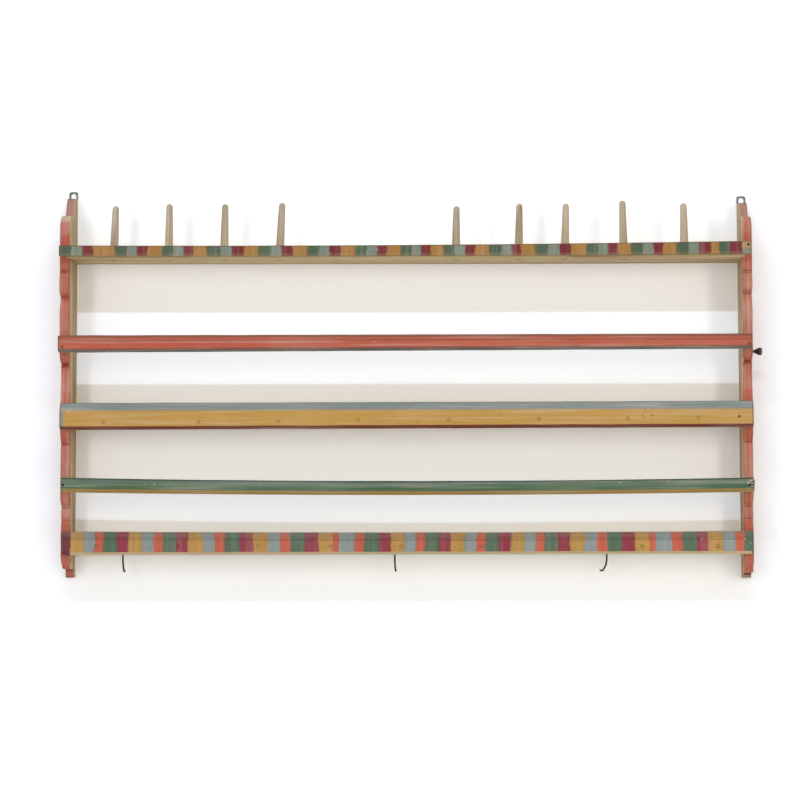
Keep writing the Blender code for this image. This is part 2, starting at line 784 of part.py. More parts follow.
side_nails = []
for piece, places in ((STRIP, strip_ends), (UPPER, upper_ends), (LOWER, lower_ends)):
    side_nails.extend((piece, place) for place in places)
make_side("left", -1, side_nails)
make_side("right", 1, side_nails)
knob_shape = ((-KNOB_TENON, KNOB_NECK), (FIT, KNOB_NECK), *KNOB_SHAPE)
build("side_knob", [knob_rings(knob_shape)], DARK_WOOD, (OUTER, -KNOB_DEPTH, KNOB_Z))

top_holes = [peg_hole(share, lean) for share, height, lean in PEGS]
top_holes.extend(peg_hole(share, 0.0) for share in EMPTY_HOLES)
top_holes.extend(nail_hole(STRIP, place) for place in strip_shelf)
make_shelf("top_shelf", TOP_SHELF, top_holes)
middle_holes = [pin_hole(MIDDLE, place) for place in middle_pins]
middle_holes.extend(nail_hole(MIDDLE, place) for place in middle_nails)
make_shelf("middle_shelf", MIDDLE_SHELF, middle_holes)
bottom_holes = [pin_hole(BOTTOM, place) for place in bottom_pins]
bottom_holes.extend(hook_hole(share) for share, turn in HOOKS)
make_shelf("bottom_shelf", BOTTOM_SHELF, bottom_holes)

make_rail("top_strip", STRIP, strip_section, STRIPED, strip_ends + strip_shelf, ())
make_rail("upper_rail", UPPER, upper_section, CORAL, upper_ends, ())
make_rail("middle_rail", MIDDLE, middle_section, OCHRE, middle_nails, middle_pins, MIDDLE_END)
make_rail("lower_rail", LOWER, lower_section, GREEN, lower_ends, ())
make_rail("bottom_rail", BOTTOM, bottom_section, STRIPED, (), bottom_pins)

for i, (share, height, lean) in enumerate(PEGS):
    build(f"peg_{i + 1}", [peg_rings(height, lean)], PEG_WOOD, peg_place(share, lean), lean)
for i, (share, turn) in enumerate(HOOKS):
    build(f"hook_{i + 1}", [hook_rings(turn)], IRON, hook_place(share))
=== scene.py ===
"""The finished look of a painted wooden plate rack.

Each piece is remade from the frame with eased and worn edges, hand-planed faces and brushed
paint. Sizes are in millimetres, and the frame is in metres. The wall is the plane y = 0, the
front faces -Y, and depths are measured from the wall.
"""

import json
import math

import bmesh
import bpy
import numpy as np
from mathutils import Matrix, Vector, noise


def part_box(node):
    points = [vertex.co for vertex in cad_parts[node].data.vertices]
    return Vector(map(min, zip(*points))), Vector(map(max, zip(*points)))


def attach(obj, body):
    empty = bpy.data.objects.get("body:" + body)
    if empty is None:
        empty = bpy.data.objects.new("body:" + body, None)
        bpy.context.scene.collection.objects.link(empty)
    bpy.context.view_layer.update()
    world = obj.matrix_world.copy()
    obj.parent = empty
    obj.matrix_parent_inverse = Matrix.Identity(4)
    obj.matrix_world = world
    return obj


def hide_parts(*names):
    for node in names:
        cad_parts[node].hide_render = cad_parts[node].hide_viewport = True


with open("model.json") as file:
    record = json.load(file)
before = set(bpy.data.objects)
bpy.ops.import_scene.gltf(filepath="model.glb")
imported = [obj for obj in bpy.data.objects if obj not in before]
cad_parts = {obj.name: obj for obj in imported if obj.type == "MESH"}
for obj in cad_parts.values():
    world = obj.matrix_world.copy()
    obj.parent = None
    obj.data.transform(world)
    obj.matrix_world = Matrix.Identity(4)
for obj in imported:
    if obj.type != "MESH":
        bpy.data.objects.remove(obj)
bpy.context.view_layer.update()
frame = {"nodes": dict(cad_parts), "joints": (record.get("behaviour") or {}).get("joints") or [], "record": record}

MM = 0.001
FIT = 0.3  # gap between two pieces that touch
OVERCUT = 5.0  # how far a cutter runs past the surface that it opens

record = frame["record"]
BODY_OF = {node: body for body, nodes in record["behaviour"]["bodies"].items() for node in nodes}
PULL_AXIS = {joint["child"]: Vector(joint["axis"]) for joint in frame["joints"]}
RAILS = ("top_strip", "upper_rail", "middle_rail", "lower_rail", "bottom_rail")
SHELVES = ("top_shelf", "middle_shelf", "bottom_shelf")


def low(node):
    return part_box(node)[0] / MM


def high(node):
    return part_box(node)[1] / MM


def centre(node):
    return (low(node) + high(node)) / 2


OUTER = high("right_side").x
INNER = low("right_side").x
BOARD = OUTER - INNER
HOUSING = 6.0  # how far the shelf ends sit in the side boards

# Side boards. Each scallop pair is a share of the way down its bay, and a depth past the straight
# line between the two seats. One pair is a line there, and two are a curve that bends towards the
# first and ends at the second.
SEAT_MARGIN = 3.0
SHOULDER_ROUND = 40.0
SHOULDER_FLAT = 14.0
NECK_HEIGHT = {"left": 44.0, "right": 35.5}
NECK_TIP = 24.0
NECK_FOOT = 36.0
NECK_FILLET = 14.0
TAIL_TAPER = {"left": 20.0, "right": 14.0}
TAB_LENGTH = {"left": 19.5, "right": 12.5}
TAB_DEPTH = {"left": 7.0, "right": 14.0}
TAB_FOOT = (4.0, 2.0)
BAYS = (
    (
        ((0.12, 0.5),), ((0.145, -2.0),), ((0.18, 1.5),), ((0.28, 5.5), (0.41, 4.5)),
        ((0.46, 4.0), (0.475, -7.0)), ((0.5, -9.0),), ((0.55, -7.5), (0.645, 0.0)),
        ((0.815, 5.0), (1.0, 0.0)),
    ),
    (
        ((0.125, -0.5), (0.167, -11.0)), ((0.2, -18.5),), ((0.26, -10.5),),
        ((0.31, -16.0), (0.46, -12.5)), ((0.75, -7.0), (1.0, 0.0)),
    ),
    (
        ((0.15, -1.0), (0.25, -9.5)), ((0.29, -10.5),), ((0.35, -6.0), (0.46, -5.0)),
        ((0.71, -1.5), (1.0, 0.0)),
    ),
    (
        ((0.14, -1.0), (0.25, -10.0)), ((0.32, -12.0),), ((0.4, -7.0), (0.59, -6.0)),
        ((0.71, -7.5),), ((0.84, -5.0), (1.0, 0.0)),
    ),
)
NOTCH_DROP = {"left": 0.0, "right": 0.075}  # how much lower the first notch is, as a share of its bay
CURVE_STEPS = 12
OUTLINE_GAP = 4.0  # longest step along the outline
ARRIS_RADIUS = (1.3, 1.1)  # of the boards' arrises, and how much it varies
BACK_ARRIS = 0.5
LEAST_ARRIS = 0.4
ARRIS = (  # steps over an arris: shares of its radius along x and off the edge, and the wear there
    (0.0, 1.0, 0.0), (0.12, 0.5, 1.0), (0.45, 0.14, 1.0), (1.0, 0.0, 0.6), (2.2, 0.0, 0.0),
)
FRONT_MIDDLE = 80.0  # depth of the front edge at the middle shelf, and how much it gains per height
FRONT_LEAN = 0.054
PAINT_LAP = 13.0  # how far the paint laps over the inner arris
HIGHLIGHT_STRIP = 34.0  # how far behind the front edge the inner face is painted lighter, a painted highlight
NOTCH_TURN = math.radians(24)  # the paint is darkened as painted shade where the outline turns by more
BARE_SHOULDER = 17.0  # height of the bare wood at the top of the left shoulder
BARE_TAB = 6.0  # height of the bare wood at the foot of the right tab, and of the dark line above it
TAB_LINE = 4.0
FRESH_BANDS = (  # where the paint kept its colour: a rail, and distances below its lower edge
    ("top_strip", -46.0, -20.0), ("top_strip", 0.0, 34.0), ("top_strip", 80.0, 94.0),
    ("upper_rail", 0.0, 27.0), ("upper_rail", 82.0, 110.0), ("middle_rail", 0.0, 31.0),
    ("lower_rail", 0.0, 28.0), ("lower_rail", 58.0, 82.0), ("bottom_rail", 0.0, 36.0),
)

# Rails. Bevels are (depth, height), and grooves are distances below the upper edge.
UPPER_BEVEL = (5.0, 6.0)
UPPER_GROOVES = (9.0, 14.0)
UPPER_GROOVE = (0.3, 2.0)
MIDDLE_BEVEL = (5.0, 6.5)
MIDDLE_SLOPE = (7.0, 16.0)
MIDDLE_END = (4.0, 8.0)  # depth and length of the bevel on the left end
LOWER_BEVEL = (6.0, 8.0)
LOWER_BREAK = 2.0  # how far the right end of the lower rail is broken off
SPLIT_START = 5.0  # how far inward of its right nail the lower rail is split
BOTTOM_BEVEL = (5.0, 6.0)
BOTTOM_GROOVES = (6.0, 11.5, 17.0)
BOTTOM_GROOVE = (0.6, 2.2)
BOTTOM_END = 4.0  # the lower bevel of the bottom rail is bare up to here from its right end
STATION_GAP = 9.0
END_EASE = ((0.0, 1.2), (0.3, 0.5), (1.3, 0.0))  # distances from an end, and how far the section draws in
END_RUN = 2.6
PLANE_WAVES = ((0.35, 0.013), (0.15, 0.06))  # depth and pace of the marks of a plane along the edges
FACE_WAVE = (0.2, 0.02)
WALL_SHADE_REACH = 14.0  # how far out from the wall the shelves are painted dark below, painted shade where they meet the wall

# Painted blocks: the colours of one run with their shares of it, the lengths of the runs from the
# left, and the odd blocks at the ends.
STRIP_LEFT = (("green", 25), ("sage", 24), ("wine", 22), ("amber", 46))
STRIP_RUN = (("green", 0.253), ("sage", 0.225), ("wine", 0.217), ("amber", 0.305))
STRIP_RUNS = (101, 95, 109, 101, 101, 96, 88, 96, 96, 106, 94, 94)
STRIP_RIGHT = (
    ("green", 23), ("sage", 23), ("wine", 23), ("amber", 19), ("green", 21), ("wine", 25), ("sage", 20),
)
BOTTOM_LEFT = (("plum", 19),)
BOTTOM_RUN = (("ochre", 0.233), ("blue", 0.188), ("coral", 0.155), ("green", 0.223), ("burgundy", 0.201))
BOTTOM_LONG_RUN = (
    ("ochre", 0.2), ("coral", 0.09), ("blue", 0.214), ("coral", 0.145), ("green", 0.2), ("burgundy", 0.151),
)
BOTTOM_RUNS = (124, 126, 136, 138, 151, 128, 125, 122, 136, 152)
BOTTOM_LONG_RUNS = (4, 9)  # places of the longer runs
BOTTOM_RIGHT = (("ochre", 31), ("blue", 27), ("coral", 17), ("green", 20))
END_BLOCK = 50.0  # distance to the next block where there is none

# Pegs, hooks, knob, nails, pins and hanger plates.
PEGS = tuple(f"peg_{i}" for i in range(1, 10))
EMPTY_HOLES = (-0.204, -0.024)  # shares of the way from the middle to a side board
PEG_HOLE = 14.0
PEG_TIP = 13.8
PEG_TENON = 13.4
PEG_COLLAR = 0.9  # height over which a peg widens above its shoulder
PEG_SIDES = 24
PEG_FACETS = 8
HOOK_PATH = (
    (0.0, 14.0), (0.0, 0.0), (0.0, -10.0), (0.3, -18.0), (1.8, -27.0), (4.4, -34.0), (7.6, -39.2),
    (11.0, -41.4), (13.8, -40.4), (15.0, -38.2),
)
HOOK_WIRE = 3.8
HOOK_SIDES = 14
KNOB_NECK = 3.0
KNOB_SHAPE = (
    (0.3, 3.0), (3.0, 3.0), (8.0, 3.3), (11.0, 4.4), (14.0, 5.9), (17.0, 7.4), (20.0, 8.2),
    (22.5, 8.1), (24.2, 6.9), (24.8, 4.6),
)
KNOB_SIDES = 32
NAIL = 3.0
NAIL_HEAD = (5.4, 0.9)
PLATE_NAIL_HEAD = (NAIL, 0.6)
NAIL_SIDES = 14
BARE_NAIL = 700.0  # from here on the nails of the strip are bare
PIN = 6.4
PIN_PROUD = 0.4
PIN_RIM = 0.9  # width of the dark ring round a pin
PIN_SIDES = 18
PLATE_WIDTH = 14.0
EYE_WIDTH = 19.0
EYE_HEIGHT = 18.2  # above the neck
EYE_CORNER = 4.5
EYE_FOOT = (0.5, 3.0)  # heights above the neck at which the strap starts to widen, and is wide
EYE_HOLE_WIDTH = 11.4
EYE_BANDS = (2.0, 2.8)  # heights of the metal below and above the hole
EYE_STEPS = 24
FILED_EDGE = 0.45

SMOOTH_ANGLE = math.radians(40)


def wander(*where):
    """A smooth value from about -1 to 1 that is the same each time for the same place."""
    return noise.noise(Vector((*where, 0.0, 0.0)[:3]))


def linear(value):
    """The linear value of one sRGB channel from 0 to 255."""
    value /= 255
    if value <= 0.04045:
        return value / 12.92
    return ((value + 0.055) / 1.055) ** 2.4


def rgb(red, green, blue):
    return (linear(red), linear(green), linear(blue), 1.0)


PAINTS = {
    "coral": rgb(198, 95, 69),
    "blue": rgb(143, 151, 147),
    "burgundy": rgb(146, 54, 67),
    "ochre": rgb(187, 141, 72),
    "green": rgb(84, 108, 84),
    "plum": rgb(112, 38, 48),
    "sage": rgb(146, 157, 144),
    "wine": rgb(139, 39, 51),
    "amber": rgb(196, 140, 68),
}
RAIL_CORAL = rgb(190, 92, 66)
RAIL_OCHRE = rgb(196, 150, 74)
RAIL_GREEN = rgb(72, 102, 72)
BOARD_CORAL = rgb(182, 98, 76)
BOARD_BRIGHT = rgb(188, 88, 62)
BOARD_DULL = rgb(132, 88, 74)
BOARD_PALE = rgb(194, 137, 118)
NECK_DUST = rgb(150, 135, 120)
NOTCH_DARK = rgb(108, 60, 46)
DARK_RED = rgb(116, 56, 44)
SLATE = rgb(132, 139, 133)
BEVEL_GREY = rgb(104, 100, 98)
BEVEL_RUST = rgb(134, 84, 68)
BEVEL_OCHRE = rgb(166, 134, 76)
BEVEL_BEIGE = rgb(198, 174, 132)
CHALK = rgb(216, 200, 182)
LILAC = rgb(152, 156, 152)
GRIME = rgb(92, 72, 58)
PINE_LIGHT = rgb(196, 174, 134)
PINE_DARK = rgb(142, 116, 82)
PINE_CHIP = rgb(212, 192, 160)
PINE_SHADE = rgb(92, 72, 50)
STRIP_STAIN = (0.75, 0.74, 0.66)  # the strip has darkened and yellowed most
STRIP_PATCH = rgb(206, 166, 116)
SPLIT_DARK = rgb(44, 42, 36)
NAIL_BROWN = rgb(104, 62, 28)
ALONG_X = (0.05, 1.0, 1.0)
ALONG_Z = (1.0, 1.0, 0.05)
UPRIGHT = (1.0, 1.0, 0.3)
MATT = 0.25  # specular level of old paint and bare wood

# Marks on the rails as (x, z, radius): knots that show through the paint, and small chips.
KNOTS = {
    "upper_rail": ((-618.7, 160.2, 2.2),),
    "middle_rail": ((505.0, 7.0, 10.0), (515.5, 8.0, 2.4)),
    "bottom_rail": ((-646.0, -259.0, 3.4), (649.0, -259.6, 2.8)),
}
CHIPS = {
    "middle_rail": ((-703.7, 22.2, 2.2),),
    "lower_rail": ((-523.4, -131.0, 2.0), (-544.0, -131.4, 1.6), (447.5, -131.0, 1.5)),
    "bottom_rail": (
        (-155.4, -265.0, 1.8), (615.8, -248.1, 1.8), (705.0, -247.5, 1.8), (708.0, -263.5, 1.0),
        (715.7, -257.0, 1.1),
    ),
}
KNOT_CORE = 4.0  # smaller knots are dark all through
SPLIT_SLOPES = (0.65, 0.05, -0.55)  # cracks that fan out to the end of the lower rail


def math_method(operation, swapped=False):
    """An operator of Value, or its reflected form."""

    def method(value, other):
        return value.maths(operation, *((other, value) if swapped else (value, other)))

    return method


class Value:
    """A shader socket that works in sums: each operation adds one Math node."""

    def __init__(self, nodes, socket):
        self.nodes = nodes
        self.socket = socket

    def maths(self, operation, *values):
        return self.nodes.node("Math", {"operation": operation}, dict(enumerate(values)), 0)

    __add__, __radd__ = math_method("ADD"), math_method("ADD", True)
    __sub__, __rsub__ = math_method("SUBTRACT"), math_method("SUBTRACT", True)
    __mul__, __rmul__ = math_method("MULTIPLY"), math_method("MULTIPLY", True)
    __truediv__ = math_method("DIVIDE")
    __pow__ = math_method("POWER")

    def __abs__(self):
        return self.maths("ABSOLUTE", self)

    def fraction(self):
        return self.maths("FRACT", self)

    def limited(self):
        return self.nodes.node("Clamp", {}, {"Value": self}, 0)

    def above(self, limit, soft):
        """1 where the value is above the limit and 0 below, over a soft step."""
        return ((self - limit) / soft + 0.5).limited()


class Nodes:
    """A node tree that starts empty."""

    def __init__(self, owner):
        owner.use_nodes = True
        self.tree = owner.node_tree
        self.tree.nodes.clear()

    def node(self, kind, settings, sockets, *outputs):
        made = self.tree.nodes.new("ShaderNode" + kind)
        for name, value in settings.items():
            setattr(made, name, value)
        for name, value in sockets.items():
            if isinstance(value, Value):
                self.tree.links.new(value.socket, made.inputs[name])
            else:
                made.inputs[name].default_value = value
        found = [Value(self, made.outputs[name]) for name in outputs]
        return found[0] if len(found) == 1 else found


class Finish(Nodes):
    """One procedural material, written as expressions on its nodes."""

    def __init__(self, name):
        self.material = bpy.data.materials.new(name)
        super().__init__(self.material)
        self.place = self.node("TexCoord", {}, {}, "Object")

    def vector(self, operation, first, second, output=0):
        return self.node("VectorMath", {"operation": operation}, {0: first, 1: second}, output)

    def noise(self, scale, run=(1.0, 1.0, 1.0), detail=2.0):
        """Values about 0.5. A small run along an axis stretches the pattern along it."""
        spread = self.vector("MULTIPLY", self.place, run)
        return self.node("TexNoise", {}, {"Vector": spread, "Scale": scale, "Detail": detail}, 0)

    def field(self, name):
        return self.node("Attribute", {"attribute_name": name}, {}, "Fac")

    def tint(self, name):
        return self.node("Attribute", {"attribute_name": name}, {}, "Color")

    def axes(self):
        """Place in millimetres along x, y and z."""
        return self.node("SeparateXYZ", {}, {0: self.shade(self.place, 1 / MM)}, 0, 1, 2)

    def away(self, x, z):
        """Distance in millimetres from a point on the front, seen from the front."""
        flat = self.vector("MULTIPLY", self.place, (1.0, 0.0, 1.0))
        return self.vector("DISTANCE", flat, (x * MM, 0.0, z * MM), "Value") / MM

    def mix(self, under, over, share):
        return self.node("Mix", {"data_type": "RGBA"}, {0: share, 6: under, 7: over}, 2)

    def shade(self, colour, level):
        """The colour made darker or lighter, or a place scaled: a level of 1 keeps it."""
        if not isinstance(colour, Value):
            colour = colour[:3]
        return self.node("VectorMath", {"operation": "SCALE"}, {0: colour, "Scale": level}, 0)

    def bump(self, height, depth):
        return self.node("Bump", {}, {"Strength": 1.0, "Distance": depth * MM, "Height": height}, 0)

    def surface(self, colour, roughness, normal, **constants):
        sockets = {"Base Color": colour, "Roughness": roughness, "Normal": normal}
        sockets.update({name.replace("_", " "): value for name, value in constants.items()})
        self.node("OutputMaterial", {}, {"Surface": self.node("BsdfPrincipled", {}, sockets, 0)})
        return self.material

    def matt(self, colour, roughness, height, depth):
        """Old paint or bare wood with a relief of the given depth."""
        return self.surface(colour, roughness, self.bump(height, depth), Specular_IOR_Level=MATT)


def pine(finish, run, light=PINE_LIGHT, dark=PINE_DARK):
    """Colour and relief of bare old pine whose grain follows the run."""
    rings = (finish.noise(11.0, run, 1.0) * 9.0).fraction()
    fine_run = tuple(0.02 if share < 1.0 else 1.0 for share in run)
    fibre = finish.noise(620.0, fine_run, 3.0)
    cloud = finish.noise(7.0, tuple(max(share, 0.3) for share in run))
    depth = rings**2.0 * 0.42 + (fibre - 0.5) * 0.9 + (cloud - 0.5) * 0.9 + 0.28
    colour = finish.mix(light, dark, depth.limited())
    return colour, fibre * 0.7 - rings * 0.3


def brushed(finish, colour, run, chalk=1.0):
    """Paint with brush marks along the run, thin streaks and chalky patches."""
    fine_run = tuple(0.03 if share < 1.0 else 1.0 for share in run)
    marks = finish.noise(420.0, fine_run, 3.0)
    streaks = finish.noise(150.0, fine_run)
    patches = finish.noise(16.0, tuple(max(share, 0.35) for share in run), 3.0)
    thin = streaks.above(0.6, 0.16) * 0.22 + patches.above(0.6, 0.3) * 0.12
    level = marks * 0.3 + streaks * 0.1 + patches * 0.24 + 0.68
    return finish.shade(finish.mix(colour, CHALK, thin * chalk), level), marks


def fresh_paint(across, rise):
    """1 on the stretches of a side board where the paint kept its colour."""
    brighter = 0.0
    for rail, start, end in FRESH_BANDS:
        at_left, at_right = edges(rail, -OUTER)[0], edges(rail, OUTER)[0]
        drop = across * ((at_right - at_left) / 2 / OUTER) + (at_left + at_right) / 2 - rise
        brighter = drop.above(start, 5.0) * (end - drop).above(0.0, 5.0) + brighter
    return brighter.limited()


def board_finish(name):
    """Coral paint on the outside and edges of a side board, with bare wood inside and behind."""
    finish = Finish(name)
    across, y, rise = finish.axes()
    depth = 0.0 - y
    inside = abs(across) - INNER
    front = depth - (FRONT_MIDDLE + rise * FRONT_LEAN)
    ragged = (finish.noise(70.0, (1.0, 1.0, 0.6), 3.0) - 0.5) * 4.0
    streaks = (finish.noise(45.0, ALONG_Z) - 0.5) * 30.0
    lapped = (front + ragged * 2.0).above(-PAINT_LAP, 4.0)
    face = (inside.above(2.6 + ragged, 0.8) + lapped).limited()
    back = depth.above(4.0 + ragged, 1.5)

    brighter = fresh_paint(across, rise + ragged * 2.0)
    bright = (finish.noise(13.0).above(0.52, 0.12) * 0.3 + brighter * 0.55).limited()
    pale = (finish.noise(27.0, detail=4.0).above(0.53, 0.2) * 0.4 + 0.16) * (1.0 - brighter * 0.8)
    patched = finish.mix(finish.mix(BOARD_CORAL, BOARD_BRIGHT, bright), BOARD_PALE, pale)
    patched = finish.mix(patched, BOARD_DULL, inside.above(BOARD - 1.5, 1.0) * 0.7)
    neck_foot = high("right_side").z - NECK_HEIGHT["right"]
    patched = finish.mix(patched, NECK_DUST, rise.above(neck_foot, 4.0) * 0.4)
    paint, marks = brushed(finish, patched, (1.0, 0.6, 0.8))
    wood, grain = pine(finish, ALONG_Z, rgb(204, 180, 142), rgb(146, 122, 90))
    # painted highlight: the inner face is lighter near its front edge, where more light reaches it
    wood = finish.shade(wood, 0.9 + (front + streaks).above(-HIGHLIGHT_STRIP, 14.0) * 0.4)

    flakes = finish.noise(150.0, (1.0, 1.0, 0.5), 5.0)
    chips = (flakes + finish.field("edge") * 0.14).above(0.76, 0.05)
    # painted shade: the paint is darkened in the notches where the outline turns sharply
    cracks = finish.field("notch") * finish.noise(90.0).above(0.4, 0.2) * 0.8
    foot = rise + ragged * 0.5 - low("right_side").z
    on_right = across.above(0.0, 1.0)
    tab_line = (BARE_TAB + TAB_LINE - foot).above(0.0, 1.5) * on_right * 0.6
    coat = finish.mix(finish.mix(paint, NOTCH_DARK, (cracks + tab_line).limited()), wood, chips)
    shoulder = high("left_side").z - NECK_HEIGHT["left"] - rise + ragged
    worn_top = (BARE_SHOULDER - shoulder).above(0.0, 8.0) * shoulder.above(-2.0, 2.0) * (1.0 - on_right)
    bare = (worn_top * 0.7 + (BARE_TAB - foot).above(0.0, 1.5) * on_right * 0.8).limited()
    colour = finish.mix(wood, coat, face * back * (1.0 - bare))
    height = face * (1.0 - chips) * 0.8 + marks * 0.4 + grain * 0.4
    return finish.matt(colour, 0.58 + marks * 0.12, height, 0.25)


def plank_finish(name):
    """Bare pine, with painted shade below along the wall."""
    finish = Finish(name)
    colour, grain = pine(finish, ALONG_X, rgb(224, 206, 160), rgb(172, 144, 102))
    # painted shade: the underside is darkened near the wall, where shade falls
    wall_shade = (WALL_SHADE_REACH + finish.axes()[1]).above(0.0, 8.0)
    below = (1.2 - finish.field("up")).above(0.0, 0.6)
    colour = finish.mix(colour, PINE_SHADE, wall_shade * below * 0.55)
    return finish.matt(colour, 0.66 + grain * 0.1, grain, 0.3)


def block_colour(finish):
    """Freehand blocks: bristle marks let each block's neighbour over its edge, and the paint is
    darker where two colours lap."""
    wave = (finish.noise(55.0) - 0.5) * 10.0
    ragged = wave + (finish.noise(330.0, (0.1, 1.0, 1.0)) - 0.5) * 5.0
    past_left = ragged - finish.field("from_left")
    past_right = 0.0 - ragged - finish.field("to_right")
    colour = finish.mix(finish.tint("paint"), finish.tint("paint_before"), past_left.above(0.0, 3.0))
    colour = finish.mix(colour, finish.tint("paint_after"), past_right.above(0.0, 3.0))
    lap = (1.0 - abs(past_left) / 2.4).limited() + (1.0 - abs(past_right) / 2.4).limited()
    return finish.shade(colour, 1.0 - lap.limited() * finish.noise(35.0).above(0.5, 0.3) * 0.3)


def split_wood(finish, paint, along, rise, start, level):
    """Torn fibres and cracks that fan out from a point to the right end."""
    broken = along.above(start, 4.0)
    fibres = finish.noise(260.0, (0.12, 1.0, 1.0)).above(0.56, 0.08)
    paint = finish.mix(paint, PINE_CHIP, fibres * broken * 0.4)
    wobble = (finish.noise(120.0) - 0.5) * 5.0
    for slope in SPLIT_SLOPES:
        off = rise - level - (along - start) * slope + wobble
        paint = finish.mix(paint, PINE_CHIP, (1.4 - abs(off - 2.4)).above(0.0, 0.8) * broken * 0.55)
        paint = finish.mix(paint, SPLIT_DARK, (1.3 - abs(off)).above(0.0, 0.8) * broken * 0.85)
    return paint


def knot_mark(finish, x, z, radius):
    """A small dark knot, or the broken ring of a large one."""
    away = finish.away(x, z) + (finish.noise(70.0) - 0.5) * radius * 0.9
    if radius < KNOT_CORE:
        return (radius - away).above(0.0, 1.6) * 0.55
    broken = finish.noise(95.0, detail=1.0).above(0.5, 0.2)
    return (1.0 - abs(away - radius) / 1.1).limited() * broken * 0.55


def rail_finish(
    node, face, line, head=None, feet=(), foot_span=None, groove=None, chalk_and_highlight=0.0,
    tip=None, stain=None, patch=None, split=None, brighter=0.0,
):
    """Brushed paint along a rail, worn at its arrises. A face of None takes the blocks painted on
    the rail. Line, head and each foot are a colour with its width, share and softness: a dark line
    along the upper arris, a band below it, and bands along the lower bevel between the two ends of
    foot_span. Groove is a colour with its share, chalk_and_highlight a pale band in the upper half
    that is chalky paint and a painted highlight, and stain darkens the blocks. Tip covers the left
    end up to a place, and patch the right end from a place and a height. The wood is split from a
    point (x, z) to the right end, and brighter is how much lighter the paint is painted towards
    that end, a painted pool of light."""
    finish = Finish(node + " paint")
    along, _, rise = finish.axes()
    up, down = finish.field("up"), finish.field("down")
    shift = (finish.noise(26.0, (0.4, 1.0, 1.0)) - 0.5) * 1.8

    def band(under, tone, width, share, soft, distance, sway=1.0):
        return finish.mix(under, tone, (width + shift * sway - distance).above(0.0, soft) * share)

    colour = block_colour(finish) if face is None else face
    # a pale patchy band in the upper half: chalky paint, and a painted highlight along the upper face
    if chalk_and_highlight:
        chalk = finish.noise(60.0, (0.06, 1.0, 1.0), 3.0).above(0.46, 0.3)
        colour = finish.mix(colour, LILAC, chalk * (1.0 - abs(down - 8.0) / 8.0).limited() * chalk_and_highlight)
    if head:
        colour = band(colour, *head, down)
    if tip:
        colour = band(colour, *tip, 1.0, 0.7, along)
    for tone, width, share, soft in feet:
        if foot_span:
            share = along.above(foot_span[0], 1.0) * (foot_span[1] - along).above(0.0, 1.0) * share
        colour = band(colour, tone, width, share, soft, up, 0.5)
    if patch:
        mottled = (finish.noise(190.0, detail=4.0) - 0.5) * 30.0
        covered = along.above(patch[1], 2.0) * (up + mottled).above(patch[2], 3.0)
        colour = finish.mix(colour, patch[0], covered)
    if stain:
        colour = finish.vector("MULTIPLY", finish.mix(colour, GRIME, 0.1), stain)
    # painted light: the paint is lighter towards the right end, where more light fell
    if brighter:
        colour = finish.shade(colour, (along / OUTER).limited() * brighter + 1.0)
    run, chalk = (UPRIGHT, 0.4) if face is None else (ALONG_X, 1.0)
    paint, marks = brushed(finish, colour, run, chalk)

    if split:
        paint = split_wood(finish, paint, along, rise, *split)
    if groove:
        paint = finish.mix(paint, groove[0], finish.field("hollow") * groove[1])
    paint = band(paint, *line, down, 0.5)
    paint = band(paint, GRIME, 3.0, 0.5, 1.4, finish.field("end"))
    for knot in KNOTS.get(node, ()):
        paint = finish.mix(paint, GRIME, knot_mark(finish, *knot))
    wood, grain = pine(finish, ALONG_X)
    flakes = finish.noise(260.0, (0.16, 1.0, 1.0), 5.0)
    scuffs = finish.noise(48.0, (0.3, 1.0, 1.0), 4.0)
    chips = (flakes + finish.field("edge") * 0.1 + (scuffs - 0.5) * 0.3).above(0.84, 0.05)
    for x, z, radius in CHIPS.get(node, ()):
        chips = (chips + (radius - finish.away(x, z) + (flakes - 0.5) * 3.0).above(0.0, 0.8)).limited()
    soil = finish.noise(120.0, (0.4, 1.0, 1.0), 4.0).above(0.66, 0.1) * 0.16
    coat = finish.mix(finish.mix(paint, GRIME, soil), finish.mix(wood, PINE_CHIP, 0.5), chips)
    colour = finish.mix(coat, wood, finish.field("behind").above(9.0, 2.0))
    height = (1.0 - chips) * 0.8 + marks * 0.5 + grain * 0.3
    return finish.matt(colour, 0.52 + chips * 0.2 + marks * 0.14, height, 0.22)


def peg_finish(name):
    """Bare whittled wood, with grey patches, and a dark end below that is darker end grain and painted shade in
    its hole.
    """
    finish = Finish(name)
    colour, grain = pine(finish, ALONG_Z, rgb(208, 190, 162), rgb(152, 128, 100))
    grey = finish.noise(18.0, (1.0, 1.0, 0.4), 3.0).above(0.55, 0.2) * 0.4
    colour = finish.mix(colour, rgb(154, 142, 126), grey)
    # the tenon's end: darker end grain, and painted shade where it sits up in its hole
    colour = finish.mix(colour, rgb(70, 52, 38), finish.field("end_grain_and_shade") * 0.8)
    return finish.matt(colour, 0.62, grain, 0.3)


def pin_finish(name):
    """A pin painted over with its rail, with a broken dark ring where it meets it."""
    finish = Finish(name)
    grain = finish.noise(900.0, (1.0, 0.1, 1.0), 3.0)
    worn = finish.noise(240.0, (1.0, 0.1, 1.0), 3.0).above(0.5, 0.3)
    paint = finish.shade(finish.tint("paint"), grain * 0.4 + 0.76)
    ring = finish.field("rim").limited() * (worn * 0.45 + 0.2)
    colour = finish.mix(finish.mix(paint, rgb(150, 112, 70), worn * 0.25), rgb(74, 50, 34), ring)
    return finish.matt(colour, 0.66, grain, 0.2)


def painted_nail_finish(name):
    finish = Finish(name)
    pits = finish.noise(500.0, detail=4.0)
    return finish.matt(finish.mix(finish.tint("paint"), GRIME, pits * 0.5 + 0.15), 0.56, pits, 0.15)


